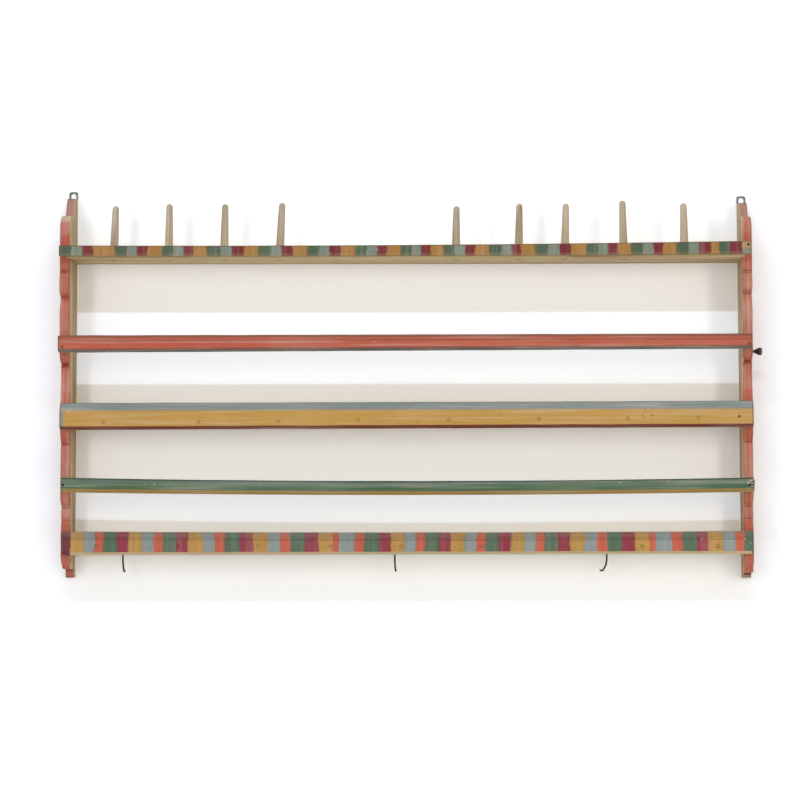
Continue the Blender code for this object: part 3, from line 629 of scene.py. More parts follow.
def iron_finish(name):
    finish = Finish(name)
    pits = finish.noise(500.0, detail=4.0)
    rust = finish.noise(140.0, detail=4.0).above(0.58, 0.12)
    colour = finish.mix(rgb(30, 28, 27), rgb(62, 43, 33), rust * 0.7)
    return finish.surface(colour, 0.55 + rust * 0.25, finish.bump(pits, 0.15), Metallic=0.5)


def steel_finish(name):
    finish = Finish(name)
    brush = finish.noise(700.0, (1.0, 1.0, 0.1), 3.0)
    dull = finish.noise(90.0, detail=3.0).above(0.5, 0.2)
    colour = finish.mix(rgb(122, 124, 114), rgb(92, 92, 82), dull * 0.6 + brush * 0.3)
    return finish.surface(colour, 0.42 + dull * 0.2, finish.bump(brush, 0.08), Metallic=0.7)


def knob_finish(name):
    finish = Finish(name)
    rings = finish.noise(500.0, (1.0, 0.2, 0.2), 3.0)
    colour = finish.mix(rgb(27, 21, 18), rgb(52, 38, 30), rings)
    return finish.surface(colour, 0.34 + rings * 0.12, finish.bump(rings, 0.12), Coat_Weight=0.2)


def link(name, mesh, finish):
    """Links a mesh as a piece: faces outward, round forms smooth and arrises sharp."""
    work = bmesh.new()
    work.from_mesh(mesh)
    bmesh.ops.recalc_face_normals(work, faces=work.faces)
    work.to_mesh(mesh)
    work.free()
    mesh.materials.clear()
    mesh.materials.append(finish)
    smooth(mesh)
    piece = bpy.data.objects.new(name, mesh)
    bpy.context.scene.collection.objects.link(piece)
    return piece


def smooth(mesh):
    mesh.shade_smooth()
    mesh.set_sharp_from_angle(angle=SMOOTH_ANGLE)


def ring_faces(rings, count):
    """Faces between rings of points, and one on each end."""
    faces = []
    for start in range(0, (rings - 1) * count, count):
        for i in range(count):
            j = (i + 1) % count
            faces.append((start + i, start + j, start + count + j, start + count + i))
    return [*faces, tuple(range(count)), tuple(range((rings - 1) * count, rings * count))]


def skin(name, rings, finish, fields=()):
    """A closed piece through rings of points, with named values at its points."""
    mesh = bpy.data.meshes.new(name)
    points = [Vector(p) * MM for ring in rings for p in ring]
    mesh.from_pydata(points, [], ring_faces(len(rings), len(rings[0])))
    for field, values in fields:
        mesh.attributes.new(field, "FLOAT", "POINT").data.foreach_set("value", values)
    return link(name, mesh, finish)


def carve(piece, bodies):
    """Cuts closed bodies, each given as rings of points, out of a piece."""
    points = []
    faces = []
    for rings in bodies:
        shift = len(points)
        points.extend(Vector(p) * MM for ring in rings for p in ring)
        for face in ring_faces(len(rings), len(rings[0])):
            faces.append(tuple(i + shift for i in face))
    mesh = bpy.data.meshes.new(piece.name + "_cutter")
    mesh.from_pydata(points, [], faces)
    cutter = link(piece.name + "_cutter", mesh, piece.data.materials[0])
    modifier = piece.modifiers.new("carve", "BOOLEAN")
    modifier.operation = "DIFFERENCE"
    modifier.solver = "EXACT"
    modifier.object = cutter
    graph = bpy.context.evaluated_depsgraph_get()
    carved = bpy.data.meshes.new_from_object(piece.evaluated_get(graph))
    piece.modifiers.clear()
    piece.data = carved
    smooth(carved)
    bpy.data.objects.remove(cutter)


def stands_for(piece, node):
    """The piece rides where the CAD node does and hides it."""
    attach(piece, BODY_OF[node])
    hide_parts(node)


def even_angles(sides):
    return [math.tau * i / sides for i in range(sides)]


def ring_round(middle, across, other, reaches):
    """Points at even angles round a middle, each as far out as its reach."""
    ways = [math.cos(a) * across + math.sin(a) * other for a in even_angles(len(reaches))]
    return [middle + reach * way for reach, way in zip(reaches, ways)]


def lathe(start, direction, shape, sides, uneven=0.0, seed=0.0):
    """Rings of a round body: shape lists distances along the direction, with radii."""
    start = Vector(start)
    direction = Vector(direction).normalized()
    across = direction.orthogonal().normalized()
    other = direction.cross(across)
    shares = []
    for a in even_angles(sides):
        shares.append(1.0 + uneven * wander(seed, 1.3 * math.cos(a), 1.3 * math.sin(a)))
    rings = []
    for distance, radius in shape:
        reaches = [radius * share for share in shares]
        rings.append(ring_round(start + direction * distance, across, other, reaches))
    return rings


def node_points(node):
    """The points of a CAD node."""
    mesh = frame["nodes"][node].data
    flat = np.empty(len(mesh.vertices) * 3, np.float32)
    mesh.vertices.foreach_get("co", flat)
    return flat.reshape(-1, 3).astype(float) / MM


def edge_lines(node):
    """Rows of (x, lower edge, upper edge) along a CAD rail or shelf, read on its back."""
    points = node_points(node)
    back = points[points[:, 1] > points[:, 1].max() - 0.01]
    rows = []
    for x in np.unique(np.round(back[:, 0], 1)):
        z = back[np.abs(back[:, 0] - x) < 0.1, 2]
        rows.append((x, z.min(), z.max()))
    rows = np.array(rows)
    tall = rows[:, 2] - rows[:, 1]
    return rows[tall > 0.8 * tall.max()]


EDGES = {node: edge_lines(node) for node in (*RAILS, *SHELVES)}


def edges(node, x):
    """Levels of the lower and the upper edge of a rail or shelf at a place along it."""
    rows = EDGES[node]
    return float(np.interp(x, rows[:, 0], rows[:, 1])), float(np.interp(x, rows[:, 0], rows[:, 2]))


def curve(start, towards, end):
    points = []
    for i in range(1, CURVE_STEPS + 1):
        t = i / CURVE_STEPS
        first, second, third = (1 - t) ** 2, 2 * t * (1 - t), t * t
        points.append(tuple(first * a + second * b + third * c for a, b, c in zip(start, towards, end)))
    return points


def seat_of(rail):
    """Depth of the side boards' front edge behind a rail, and the rail's lower and upper levels."""
    rows = EDGES[rail]
    return -high(rail).y - FIT, rows[:, 1], rows[:, 2]


def bay_path(bay, above, below):
    """The scallops of a bay between two rails, from its top."""
    seat_above, bottoms, _ = seat_of(above)
    seat_below, _, tops = seat_of(below)
    top = min(bottoms[0], bottoms[len(bottoms) // 2], bottoms[-1]) - SEAT_MARGIN
    bottom = max(tops[0], tops[len(tops) // 2], tops[-1]) + SEAT_MARGIN
    path = [((seat_above, top),)]
    for scallop in bay:
        points = []
        for share, out in scallop:
            depth = seat_above + (seat_below - seat_above) * share + out
            points.append((depth, top + (bottom - top) * share))
        path.append(tuple(points))
    return path


def side_outline(side):
    """A side board's outline as (depth, z), from the tab up the back and down the front."""
    top = high(side + "_side").z
    tab_end = low(side + "_side").z
    shoulder = top - NECK_HEIGHT[side]
    tail_end = tab_end + TAB_LENGTH[side]
    strip_seat = seat_of("top_strip")[0]
    bottom_seat, bottoms, _ = seat_of("bottom_rail")
    seat_end = min(bottoms) - SEAT_MARGIN
    drop = seat_end - tail_end
    taper = TAIL_TAPER[side]
    tail = bottom_seat - taper
    tab = TAB_DEPTH[side]
    path = [
        ((NECK_FOOT + 0.2 * NECK_FILLET, shoulder), (NECK_FOOT + NECK_FILLET, shoulder)),
        ((NECK_FOOT + NECK_FILLET + SHOULDER_FLAT, shoulder),),
        ((strip_seat, shoulder), (strip_seat, shoulder - SHOULDER_ROUND)),
    ]
    notch = [((share + NOTCH_DROP[side], out),) for ((share, out),) in BAYS[0][:3]]
    bays = ([*notch, *BAYS[0][3:]], *BAYS[1:])
    for bay, above, below in zip(bays, RAILS, RAILS[1:]):
        path.extend(bay_path(bay, above, below))
    path += [
        ((bottom_seat, seat_end),),
        ((bottom_seat, seat_end - 0.4 * drop), (bottom_seat - 0.6 * taper, seat_end - 0.6 * drop)),
        ((tail, seat_end - 0.7 * drop), (tail, tail_end)),
        ((tab + TAB_FOOT[0], tail_end - TAB_FOOT[1]),),
        ((tab, tab_end),),
    ]
    points = [(0.0, tab_end), (0.0, top), (NECK_TIP, top), (NECK_FOOT, shoulder + NECK_FILLET)]
    for piece in path:
        points.extend(piece if len(piece) == 1 else curve(points[-1], *piece))
    return points


def spaced(points, gap):
    """The closed outline with points added so that no step is longer than the gap."""
    filled = []
    for here, after in zip(points, points[1:] + points[:1]):
        steps = max(1, math.ceil(math.dist(here, after) / gap))
        for i in range(steps):
            filled.append(tuple(a + (b - a) * i / steps for a, b in zip(here, after)))
    return filled


def steps_at(points):
    """The steps to and from each point of a closed outline."""
    turned = [Vector(p) for p in points]
    ahead = [after - here for here, after in zip(turned, turned[1:] + turned[:1])]
    return list(zip(ahead[-1:] + ahead[:-1], ahead))


def outward(points):
    """Unit normals of a closed outline that runs clockwise in (depth, z)."""
    headings = [before.normalized() + after.normalized() for before, after in steps_at(points)]
    return [Vector((-heading.y, heading.x)).normalized() for heading in headings]


def sharp_turns(points):
    """1 where a closed outline turns sharply, 0 where it runs on."""
    return [1.0 if before.angle(after) > NOTCH_TURN else 0.0 for before, after in steps_at(points)]


def plate_recess(side):
    """The recess for a hanger plate in the back of its neck."""
    bottom, top = low("hanger_" + side), high("hanger_" + side)
    x = (bottom.x + top.x) / 2
    half = PLATE_WIDTH / 2 + FIT
    corners = ((-half, bottom.z - FIT), (half, bottom.z - FIT), (half, top.z), (-half, top.z))
    return [[(x + out, y, z) for out, z in corners] for y in (OVERCUT, bottom.y - FIT)]


def make_side(side, sign, finish):
    """A side board with hand-cut scallops and worn arrises, grooved for the shelf ends."""
    points = spaced(side_outline(side), OUTLINE_GAP)
    normals = outward(points)
    turns = sharp_turns(points)
    ease = []
    for depth, z in points:
        worn = ARRIS_RADIUS[0] + ARRIS_RADIUS[1] * wander(0.05 * z, 0.05 * depth, sign)
        ease.append(max(LEAST_ARRIS, worn if depth > NECK_TIP / 2 else BACK_ARRIS))
    rings = []
    fields = {"edge": [], "notch": []}
    for outer, steps in ((False, ARRIS), (True, ARRIS[::-1])):
        for share, inset, rim in steps:
            ring = []
            for (depth, z), normal, r, turn in zip(points, normals, ease, turns):
                x = OUTER - share * r if outer else INNER + share * r
                ring.append((sign * x, -(depth - inset * r * normal.x), z - inset * r * normal.y))
                fields["edge"].append(rim)
                fields["notch"].append(turn if inset < 1.0 else 0.0)
            rings.append(ring)
    piece = skin(side + "_side_board", rings, finish, fields.items())
    slots = [plate_recess(side)]
    for shelf in SHELVES:
        front = low(shelf).y - 4 * OVERCUT
        slot = []
        for x in (INNER - OVERCUT, INNER + HOUSING):
            under, over = edges(shelf, sign * x)
            floor, roof = under - FIT, over + FIT
            corners = ((OVERCUT, floor), (front, floor), (front, roof), (OVERCUT, roof))
            slot.append([(sign * x, y, z) for y, z in corners])
        slots.append(slot)
    carve(piece, slots)
    stands_for(piece, side + "_side")


def eased(corners):
    """Points of a section as (depth, z, edge, hollow). Each corner is (depth, z, radius), and
    each side gets a point near both of its ends, so that wear stays near the arris."""
    points = []
    for i, (*corner, radius) in enumerate(corners):
        *following, next_radius = corners[(i + 1) % len(corners)]
        before, here, after = Vector(corners[i - 1][:2]), Vector(corner), Vector(following)
        back = min(radius, 0.45 * (before - here).length)
        on = min(radius, 0.45 * (after - here).length)
        start = here + (before - here).normalized() * back
        end = here + (after - here).normalized() * on
        outer = 1.0 if (here - before).cross(after - here) > 0 else 0.0
        for step in range(5):
            t = step / 4
            point = (1 - t) ** 2 * start + 2 * t * (1 - t) * here + t * t * end
            points.append((point.x, point.y, outer, 1.0 - outer))
        side = after - here
        length = side.length
        for distance in (on + 1.6, length - next_radius - 1.6):
            spot = here + side * min(0.8, max(0.2, distance / length))
            points.append((spot.x, spot.y, 0.0, 0.0))
    return points


def grooves(top, front, places, size):
    deep, tall = size
    corners = []
    for place in sorted(places, reverse=True):
        z = top - place
        corners += [(front, z - tall / 2, 0.5), (front - deep, z, 0.5), (front, z + tall / 2, 0.5)]
    return corners


def foot_corners(bottom, front, bevel):
    return [(0.0, bottom, 1.0), (front - bevel[0], bottom, 1.2), (front, bottom + bevel[1], 1.6)]


def strip_section(bottom, top, front):
    return [(0.0, bottom, 0.8), (front, bottom, 1.6), (front, top, 2.0), (0.0, top, 1.0)]


def upper_section(bottom, top, front):
    lines = grooves(top, front, UPPER_GROOVES, UPPER_GROOVE)
    return [*foot_corners(bottom, front, UPPER_BEVEL), *lines, (front, top, 3.2), (0.0, top, 1.2)]


def middle_section(bottom, top, front):
    deep, tall = MIDDLE_SLOPE
    slope = [(front, top - tall, 2.0), (front - deep, top, 1.6), (0.0, top, 1.2)]
    return [*foot_corners(bottom, front, MIDDLE_BEVEL), *slope]


def lower_section(bottom, top, front):
    return [*foot_corners(bottom, front, LOWER_BEVEL), (front, top, 5.0), (0.0, top, 2.0)]


def bottom_section(bottom, top, front):
    lines = grooves(top, front, BOTTOM_GROOVES, BOTTOM_GROOVE)
    return [*foot_corners(bottom, front, BOTTOM_BEVEL), *lines, (front, top, 2.4), (0.0, top, 1.0)]


def plank_section(bottom, top, front):
    return [(0.0, bottom, 0.8), (front, bottom, 1.0), (front, top, 1.0), (0.0, top, 0.8)]


def stations(first, last, marks):
    """Places along a rail: eased ends, the marks and even steps between them. Each is (x, inset)."""
    inner = sorted({first + END_RUN, last - END_RUN, *(x for x in marks if first + 4 < x < last - 4)})
    places = [(first + along, inset) for along, inset in END_EASE]
    for here, after in zip(inner, inner[1:]):
        steps = max(1, round((after - here) / STATION_GAP))
        places.extend((here + (after - here) * i / steps, 0.0) for i in range(steps))
    places.append((inner[-1], 0.0))
    places.extend((last - along, inset) for along, inset in END_EASE[::-1])
    return places


def planed(x, seed, edge):
    """How far a hand plane went past an edge at a place along it."""
    (deep, slow), (shallow, quick) = PLANE_WAVES
    long_wave = deep * (1.0 + wander(slow * x, seed, edge))
    return long_wave + shallow * (1.0 + wander(quick * x, seed, edge + 4.0))


def long_piece(name, node, section, finish, marks=(), end_bevel=None, rough=0.0, seed=0.0):
    """A rail or shelf along X with hand-planed edges. Rough breaks up the right end."""
    first, last = low(node).x, high(node).x
    back, face = high(node).y, low(node).y
    rings = []
    fields = {"edge": [], "hollow": [], "up": [], "down": [], "behind": [], "end": []}
    for x, inset in stations(first, last, marks):
        bottom, top = edges(node, x)
        bottom += planed(x, seed, 0.0)
        top -= planed(x, seed, 8.0)
        front = back - face - FACE_WAVE[0] * (1.0 + wander(FACE_WAVE[1] * x, seed, 16.0))
        if end_bevel:
            front -= end_bevel[0] * max(0.0, 1.0 - (x - first) / end_bevel[1])
        broken = rough * max(0.0, 1.0 - (last - x) / (6.0 * rough)) if rough else 0.0
        ring = []
        for depth, z, edge, hollow in eased(section(bottom, top, front)):
            shrink_y = inset * (1 if depth > front / 2 else -1)
            shrink_z = inset * (1 if z > (bottom + top) / 2 else -1)
            x_here = x - broken * (1.0 + wander(0.21 * depth, 0.21 * z, 3.0))
            ring.append((x_here, back - (depth - shrink_y), z - shrink_z))
            fields["edge"].append(max(edge, min(1.0, inset)))
            fields["hollow"].append(hollow)
            fields["up"].append(z - bottom)
            fields["down"].append(top - z)
            fields["behind"].append(front - depth)
            fields["end"].append(min(x - first, last - x))
        rings.append(ring)
    return skin(name, rings, finish, fields.items())


def block_ends(node, blocks):
    """Places where the painted blocks of a rail start and end, from the left, with their colours."""
    first, last = low(node).x, high(node).x
    total = sum(length for _, length in blocks)
    x = first
    ends = []
    for colour, length in blocks:
        left, x = x, x + (last - first) * length / total
        ends.append((left, x, colour))
    return ends


def paint_blocks(piece, ends):
    """Writes each block's own colour, its neighbours' and the distances to its two sides."""
    mesh = piece.data
    lefts = [left for left, _, _ in ends]
    last = len(ends) - 1
    colours = {"paint": [], "paint_before": [], "paint_after": []}
    distances = {"from_left": [], "to_right": []}
    for face in mesh.polygons:
        block = int(np.clip(np.searchsorted(lefts, face.center.x / MM) - 1, 0, last))
        left, right, colour = ends[block]
        for corner in face.loop_indices:
            x = mesh.vertices[mesh.loops[corner].vertex_index].co.x / MM
            colours["paint"].extend(PAINTS[colour])
            colours["paint_before"].extend(PAINTS[ends[max(block - 1, 0)][2]])
            colours["paint_after"].extend(PAINTS[ends[min(block + 1, last)][2]])
            distances["from_left"].append(x - left if block else END_BLOCK)
            distances["to_right"].append(right - x if block < last else END_BLOCK)
    for name, values in colours.items():
        mesh.attributes.new(name, "FLOAT_COLOR", "CORNER").data.foreach_set("color", values)
    for name, values in distances.items():
        mesh.attributes.new(name, "FLOAT", "CORNER").data.foreach_set("value", values)


def peg_line(node):
    """The foot, axis, shoulder distance, length and widest radius of a CAD peg."""
    axis = PULL_AXIS[BODY_OF[node]].normalized()
    points = node_points(node)
    along = points @ np.array(axis)
    foot = Vector(points[along < along.min() + 0.05].mean(0))
    offset = points - np.array(foot)
    distance = offset @ np.array(axis)
    radius = np.linalg.norm(offset - np.outer(distance, np.array(axis)), axis=1)
    shoulder = float(distance[radius > 0.99 * radius.max()].min())
    return foot, axis, shoulder, float(distance.max()), float(radius.max())


def make_peg(node, finish, seed):
    """A whittled peg: long knife facets, a round tip and a round tenon."""
    foot, axis, shoulder, length, wide = peg_line(node)
    tenon = PEG_TENON / 2
    tip = PEG_TIP / 2
    collar = shoulder + PEG_COLLAR
    taper_end = length - tip
    shape = [(0.0, tenon - 0.8), (1.5, tenon), (shoulder - 0.05, tenon)]
    shape += [(shoulder, wide - 0.7), (collar, wide)]
    for i in range(1, 15):
        t = i / 14
        shape.append((collar + (taper_end - collar) * t, wide + (tip - wide) * t**1.5))
    for i in range(1, 8):
        angle = math.pi / 2 * i / 7.3
        shape.append((taper_end + tip * math.sin(angle), tip * math.cos(angle)))
    across = axis.orthogonal().normalized()
    other = axis.cross(across)
    half = math.pi / PEG_FACETS
    facets = []
    for a in even_angles(PEG_SIDES):
        facet = round(a / (2 * half))
        flat = math.cos(half) / math.cos(a - 2 * half * facet)
        facets.append((facet % PEG_FACETS, min(1.0, flat * 1.03)))
    rings = []
    for distance, radius in shape:
        cut = 0.0 if distance < shoulder else 0.6
        sway = 0.5 * wander(0.03 * distance, seed) if distance > shoulder else 0.0
        middle = foot + axis * distance + across * sway * min(1.0, (distance - shoulder) / 40.0)
        reaches = []
        for facet, flat in facets:
            knife = 1.0 - 0.02 * (1.0 + wander(0.04 * distance, 3.7 * facet, seed))
            reaches.append(radius * ((1.0 - cut) + cut * flat * knife))
        rings.append(ring_round(middle, across, other, reaches))
    # the end of the tenon is marked dark: end grain and painted shade in its hole
    dark = [1.0 if distance < 2.0 else 0.0 for distance, _ in shape for _ in range(PEG_SIDES)]
    stands_for(skin(node + "_whittled", rings, finish, [("end_grain_and_shade", dark)]), node)


def between(p, q, r, s, t):
    """A value on the smooth curve from q to r, with p before and s after them."""
    bend = (2 * p - 5 * q + 4 * r - s) * t**2 + (3 * q - p - 3 * r + s) * t**3
    return 0.5 * (2 * q + (r - p) * t + bend)


def smooth_path(path, steps):
    """A curve through all points of the path, with the given steps in each stretch."""
    padded = [path[0], *path, path[-1]]
    points = []
    for near in zip(padded, padded[1:], padded[2:], padded[3:]):
        points.extend(tuple(between(*v, i / steps) for v in zip(*near)) for i in range(steps))
    return [*points, path[-1]]


def make_hook(node, finish, seed):
    """A forged hook bent from wire, drawn out to a blunt tip."""
    points = node_points(node)
    shank = Vector(points[points[:, 2] > points[:, 2].max() - 0.1].mean(0))
    level = edges("bottom_shelf", shank.x)[0]
    reach = np.hypot(points[:, 0] - shank.x, points[:, 1] - shank.y)
    far = Vector(points[reach > reach.max() - 1.0].mean(0)) - shank
    toward = Vector((far.x, far.y, 0.0)).normalized()
    up = Vector((0.0, 0.0, 1.0))
    side = toward.cross(up)
    path = smooth_path(HOOK_PATH, 5)
    last = len(path) - 1
    rings = []
    for i, (out, rise) in enumerate(path):
        before, after = path[max(i - 1, 0)], path[min(i + 1, last)]
        heading = (toward * (after[0] - before[0]) + up * (after[1] - before[1])).normalized()
        normal = heading.cross(side)
        middle = Vector((shank.x, shank.y, level)) + toward * out + up * rise
        radius = HOOK_WIRE / 2 * (1.0 - 0.3 * max(0.0, i / last - 0.75) / 0.25)
        if i == last:
            radius *= 0.55
        dents = [1.0 + wander(0.25 * rise, 2.0 * math.cos(a), seed) for a in even_angles(HOOK_SIDES)]
        reaches = [radius * (1.0 - 0.04 * dent) for dent in dents]
        rings.append(ring_round(middle, normal, side, reaches))
    stands_for(skin(node + "_forged", rings, finish), node)


def paint_over(piece, colour):
    """Gives a pin or nail the paint of its rail."""
    attribute = piece.data.attributes.new("paint", "FLOAT_COLOR", "POINT")
    attribute.data.foreach_set("color", colour * len(piece.data.vertices))


def block_at(blocks, x):
    return next(PAINTS[colour] for left, right, colour in blocks if left <= x <= right)


def make_nail(node, iron, painted, seed):
    """A hand-made nail with an uneven domed head at the front, or at the back in a plate."""
    x, _, z = centre(node)
    front, back = low(node).y, high(node).y
    length = back - front
    if node.startswith("hanger"):
        wide, thick = PLATE_NAIL_HEAD
        start, direction = (x, back, z), (0, -1, 0)
    else:
        wide, thick = NAIL_HEAD
        start, direction = (x, front, z), (0, 1, 0)
    head = wide / 2
    shape = (
        (0.0, 0.22 * head), (0.12 * thick, 0.55 * head), (0.4 * thick, 0.84 * head),
        (0.75 * thick, 0.98 * head), (thick, 0.96 * head), (thick + 0.02, 0.96 * NAIL / 2),
        (length - 3.0, 0.92 * NAIL / 2), (length, 0.2 * NAIL),
    )
    rings = lathe(start, direction, shape, NAIL_SIDES, 0.05, seed)
    coat = None
    if node.startswith("top_strip") and high(node).x < BARE_NAIL:
        coat = block_at(STRIP_BLOCKS, x)
    elif node.startswith(("upper_rail", "middle_rail")):
        coat = NAIL_BROWN
    piece = skin(node + "_driven", rings, painted if coat else iron)
    if coat:
        paint_over(piece, coat)
    stands_for(piece, node)


def make_pin(node, finish, seed):
    """A whittled wooden pin with a ring where it meets its rail, in the paint of that place."""
    x, _, z = centre(node)
    front = low(node).y
    radius = PIN / 2
    length = high(node).y - front
    collar = PIN_PROUD - 0.14
    shape = (  # distances, radii, and how much of the ring shows there
        (0.0, 0.1 * radius, 0.0), (0.0, 0.6 * radius, 0.0), (0.06, 0.9 * radius, 0.2), (0.2, radius, 0.9),
        (collar, radius, 1.0), (collar, radius + PIN_RIM, 1.0), (collar + 1.2, radius + PIN_RIM, 1.0),
        (collar + 1.2, radius, 1.0), (length, radius, 0.0),
    )
    values = [rim for _, _, rim in shape for _ in range(PIN_SIDES)]
    rings = lathe((x, front, z), (0, 1, 0), [step[:2] for step in shape], PIN_SIDES, 0.06, seed)
    piece = skin(node + "_end", rings, finish, [("rim", values)])
    paint_over(piece, block_at(BOTTOM_BLOCKS, x) if node.startswith("bottom") else RAIL_OCHRE)
    stands_for(piece, node)


def make_knob(finish):
    _, y, z = centre("side_knob")
    tenon = OUTER - low("side_knob").x
    shape = ((-tenon, KNOB_NECK), *smooth_path(KNOB_SHAPE, 4))
    rings = lathe((OUTER, y, z), (1, 0, 0), shape, KNOB_SIDES, 0.015, 5.0)
    stands_for(skin("side_knob_turned", rings, finish), "side_knob")


def make_hanger(side, finish):
    """A hanger plate: a strap that ends in a square-shouldered eye, with filed edges."""
    node = "hanger_" + side
    bottom, top = low(node), high(node)
    x = centre(node).x
    neck = top.z - EYE_HEIGHT
    half, wide, hole = PLATE_WIDTH / 2, EYE_WIDTH / 2, EYE_HOLE_WIDTH / 2
    right = [(half, bottom.z), (half, neck + EYE_FOOT[0]), (wide, neck + EYE_FOOT[1])]
    for i in range(EYE_STEPS // 2 + 1):
        angle = math.pi * i / EYE_STEPS
        out = wide - EYE_CORNER * (1 - math.cos(angle))
        right.append((out, top.z - EYE_CORNER * (1 - math.sin(angle))))
    outline = [*right, *((-out, z) for out, z in reversed(right))]
    rings = [[(x + out, y, z) for out, z in outline] for y in (top.y, bottom.y)]
    piece = skin(node + "_plate", rings, finish)
    arch = [(-hole, neck + EYE_BANDS[0]), (hole, neck + EYE_BANDS[0])]
    spring = top.z - EYE_BANDS[1] - hole
    for i in range(EYE_STEPS + 1):
        angle = math.pi * i / EYE_STEPS
        arch.append((hole * math.cos(angle), spring + hole * math.sin(angle)))
    ends = (top.y + OVERCUT, bottom.y - OVERCUT)
    carve(piece, [[[(x + out, y, z) for out, z in arch] for y in ends]])
    filed = piece.modifiers.new("filed edges", "BEVEL")
    filed.width = FILED_EDGE * MM
    filed.segments = 2
    filed.limit_method = "ANGLE"
    filed.angle_limit = SMOOTH_ANGLE
    stands_for(piece, node)


def peg_holes():
    """Round holes through the top shelf, under the pegs and where two pegs are missing."""
    bodies = []
    for node in PEGS:
        foot, axis, shoulder, _, _ = peg_line(node)
        shape = ((-3 * OVERCUT, PEG_HOLE / 2), (shoulder + OVERCUT, PEG_HOLE / 2))
        bodies.append(lathe(foot, axis, shape, PEG_SIDES))
    for share in EMPTY_HOLES:
        under, over = edges("top_shelf", share * INNER)
        start = (share * INNER, foot.y, under - OVERCUT)
        shape = ((0.0, PEG_HOLE / 2), (over - under + 2 * OVERCUT, PEG_HOLE / 2))
        bodies.append(lathe(start, (0, 0, 1), shape, PEG_SIDES))
    return bodies


def runs(pattern, lengths, longer=(), longer_pattern=()):
    blocks = []
    for i, length in enumerate(lengths):
        chosen = longer_pattern if i in longer else pattern
        blocks.extend((colour, share * length) for colour, share in chosen)
    return blocks


STRIP_BLOCKS = block_ends("top_strip", [*STRIP_LEFT, *runs(STRIP_RUN, STRIP_RUNS), *STRIP_RIGHT])
BOTTOM_BLOCKS = block_ends(
    "bottom_rail",
    [*BOTTOM_LEFT, *runs(BOTTOM_RUN, BOTTOM_RUNS, BOTTOM_LONG_RUNS, BOTTOM_LONG_RUN), *BOTTOM_RIGHT],
)


def make_rail(node, section, finish, blocks=(), **shape):
    marks = [right for _, right, _ in blocks]
    piece = long_piece(node + "_bar", node, section, finish, marks, **shape)
    if blocks:
        paint_blocks(piece, blocks)
    stands_for(piece, node)


def make_rails():
    finish = rail_finish(
        "top_strip", None,
        line=(rgb(100, 78, 54), 2.2, 0.7, 0.9),
        feet=[(BEVEL_BEIGE, 4.0, 0.25, 5.0)],
        stain=STRIP_STAIN,
        patch=(STRIP_PATCH, STRIP_BLOCKS[-1][0], 11.0),
    )
    make_rail("top_strip", strip_section, finish, STRIP_BLOCKS, seed=1.0)

    finish = rail_finish(
        "upper_rail", RAIL_CORAL,
        line=(rgb(122, 82, 58), 5.6, 0.8, 3.2),
        feet=[(BEVEL_RUST, 7.2, 0.9, 2.0), (BEVEL_GREY, 4.0, 1.0, 2.0)],
        groove=(rgb(214, 156, 136), 0.3),
    )
    make_rail("upper_rail", upper_section, finish, seed=2.0)

    finish = rail_finish(
        "middle_rail", RAIL_OCHRE,
        # the dark line along the top of the slope is painted shade at the rail's back top edge
        line=(rgb(84, 94, 98), 1.3, 0.8, 0.9),
        head=(SLATE, 16.5, 1.0, 5.0),
        feet=[(DARK_RED, 6.6, 1.0, 0.7)],
        tip=(SLATE, low("middle_rail").x + MIDDLE_END[1]),
    )
    make_rail("middle_rail", middle_section, finish, end_bevel=MIDDLE_END, seed=3.0)

    nail = centre("lower_rail_nail_2")
    finish = rail_finish(
        "lower_rail", RAIL_GREEN,
        line=(rgb(52, 66, 56), 2.8, 0.8, 0.9),
        feet=[(BEVEL_OCHRE, 8.0, 1.0, 1.4)],
        # a pale band in the upper half: chalky paint and a painted highlight
        chalk_and_highlight=0.45,
        split=(nail.x - SPLIT_START, nail.z),
    )
    make_rail("lower_rail", lower_section, finish, rough=LOWER_BREAK, seed=4.0)

    finish = rail_finish(
        "bottom_rail", None,
        line=(rgb(94, 82, 74), 1.2, 0.8, 0.9),
        head=(CHALK, 11.0, 0.09, 6.0),
        feet=[(BEVEL_BEIGE, 6.0, 1.0, 0.7)],
        foot_span=(BOTTOM_BLOCKS[0][1], BOTTOM_BLOCKS[-1][1] - BOTTOM_END),
        groove=(rgb(126, 114, 106), 0.22),
        # painted light: the blocks are lighter towards the right end
        brighter=0.1,
    )
    make_rail("bottom_rail", bottom_section, finish, BOTTOM_BLOCKS, seed=5.0)


def make_shelves():
    finish = plank_finish("bare pine shelf")
    for i, node in enumerate(SHELVES):
        piece = long_piece(node + "_plank", node, plank_section, finish, seed=10.0 + i)
        if node == "top_shelf":
            carve(piece, peg_holes())
        stands_for(piece, node)


def make_small_pieces():
    peg_wood = peg_finish("whittled peg")
    for i, node in enumerate(PEGS, 1):
        make_peg(node, peg_wood, 20.0 + i)
    iron = iron_finish("forged iron")
    painted = painted_nail_finish("painted nail")
    for i in range(1, 4):
        make_hook(f"hook_{i}", iron, 40.0 + i)
    pin_wood = pin_finish("pin end grain")
    for i, node in enumerate(sorted(frame["nodes"])):
        if "_nail_" in node:
            make_nail(node, iron, painted, 60.0 + i)
        elif "_pin_" in node:
            make_pin(node, pin_wood, 60.0 + i)
    make_knob(knob_finish("dark turned wood"))
    steel = steel_finish("hanger plate steel")
    make_hanger("left", steel)
    make_hanger("right", steel)


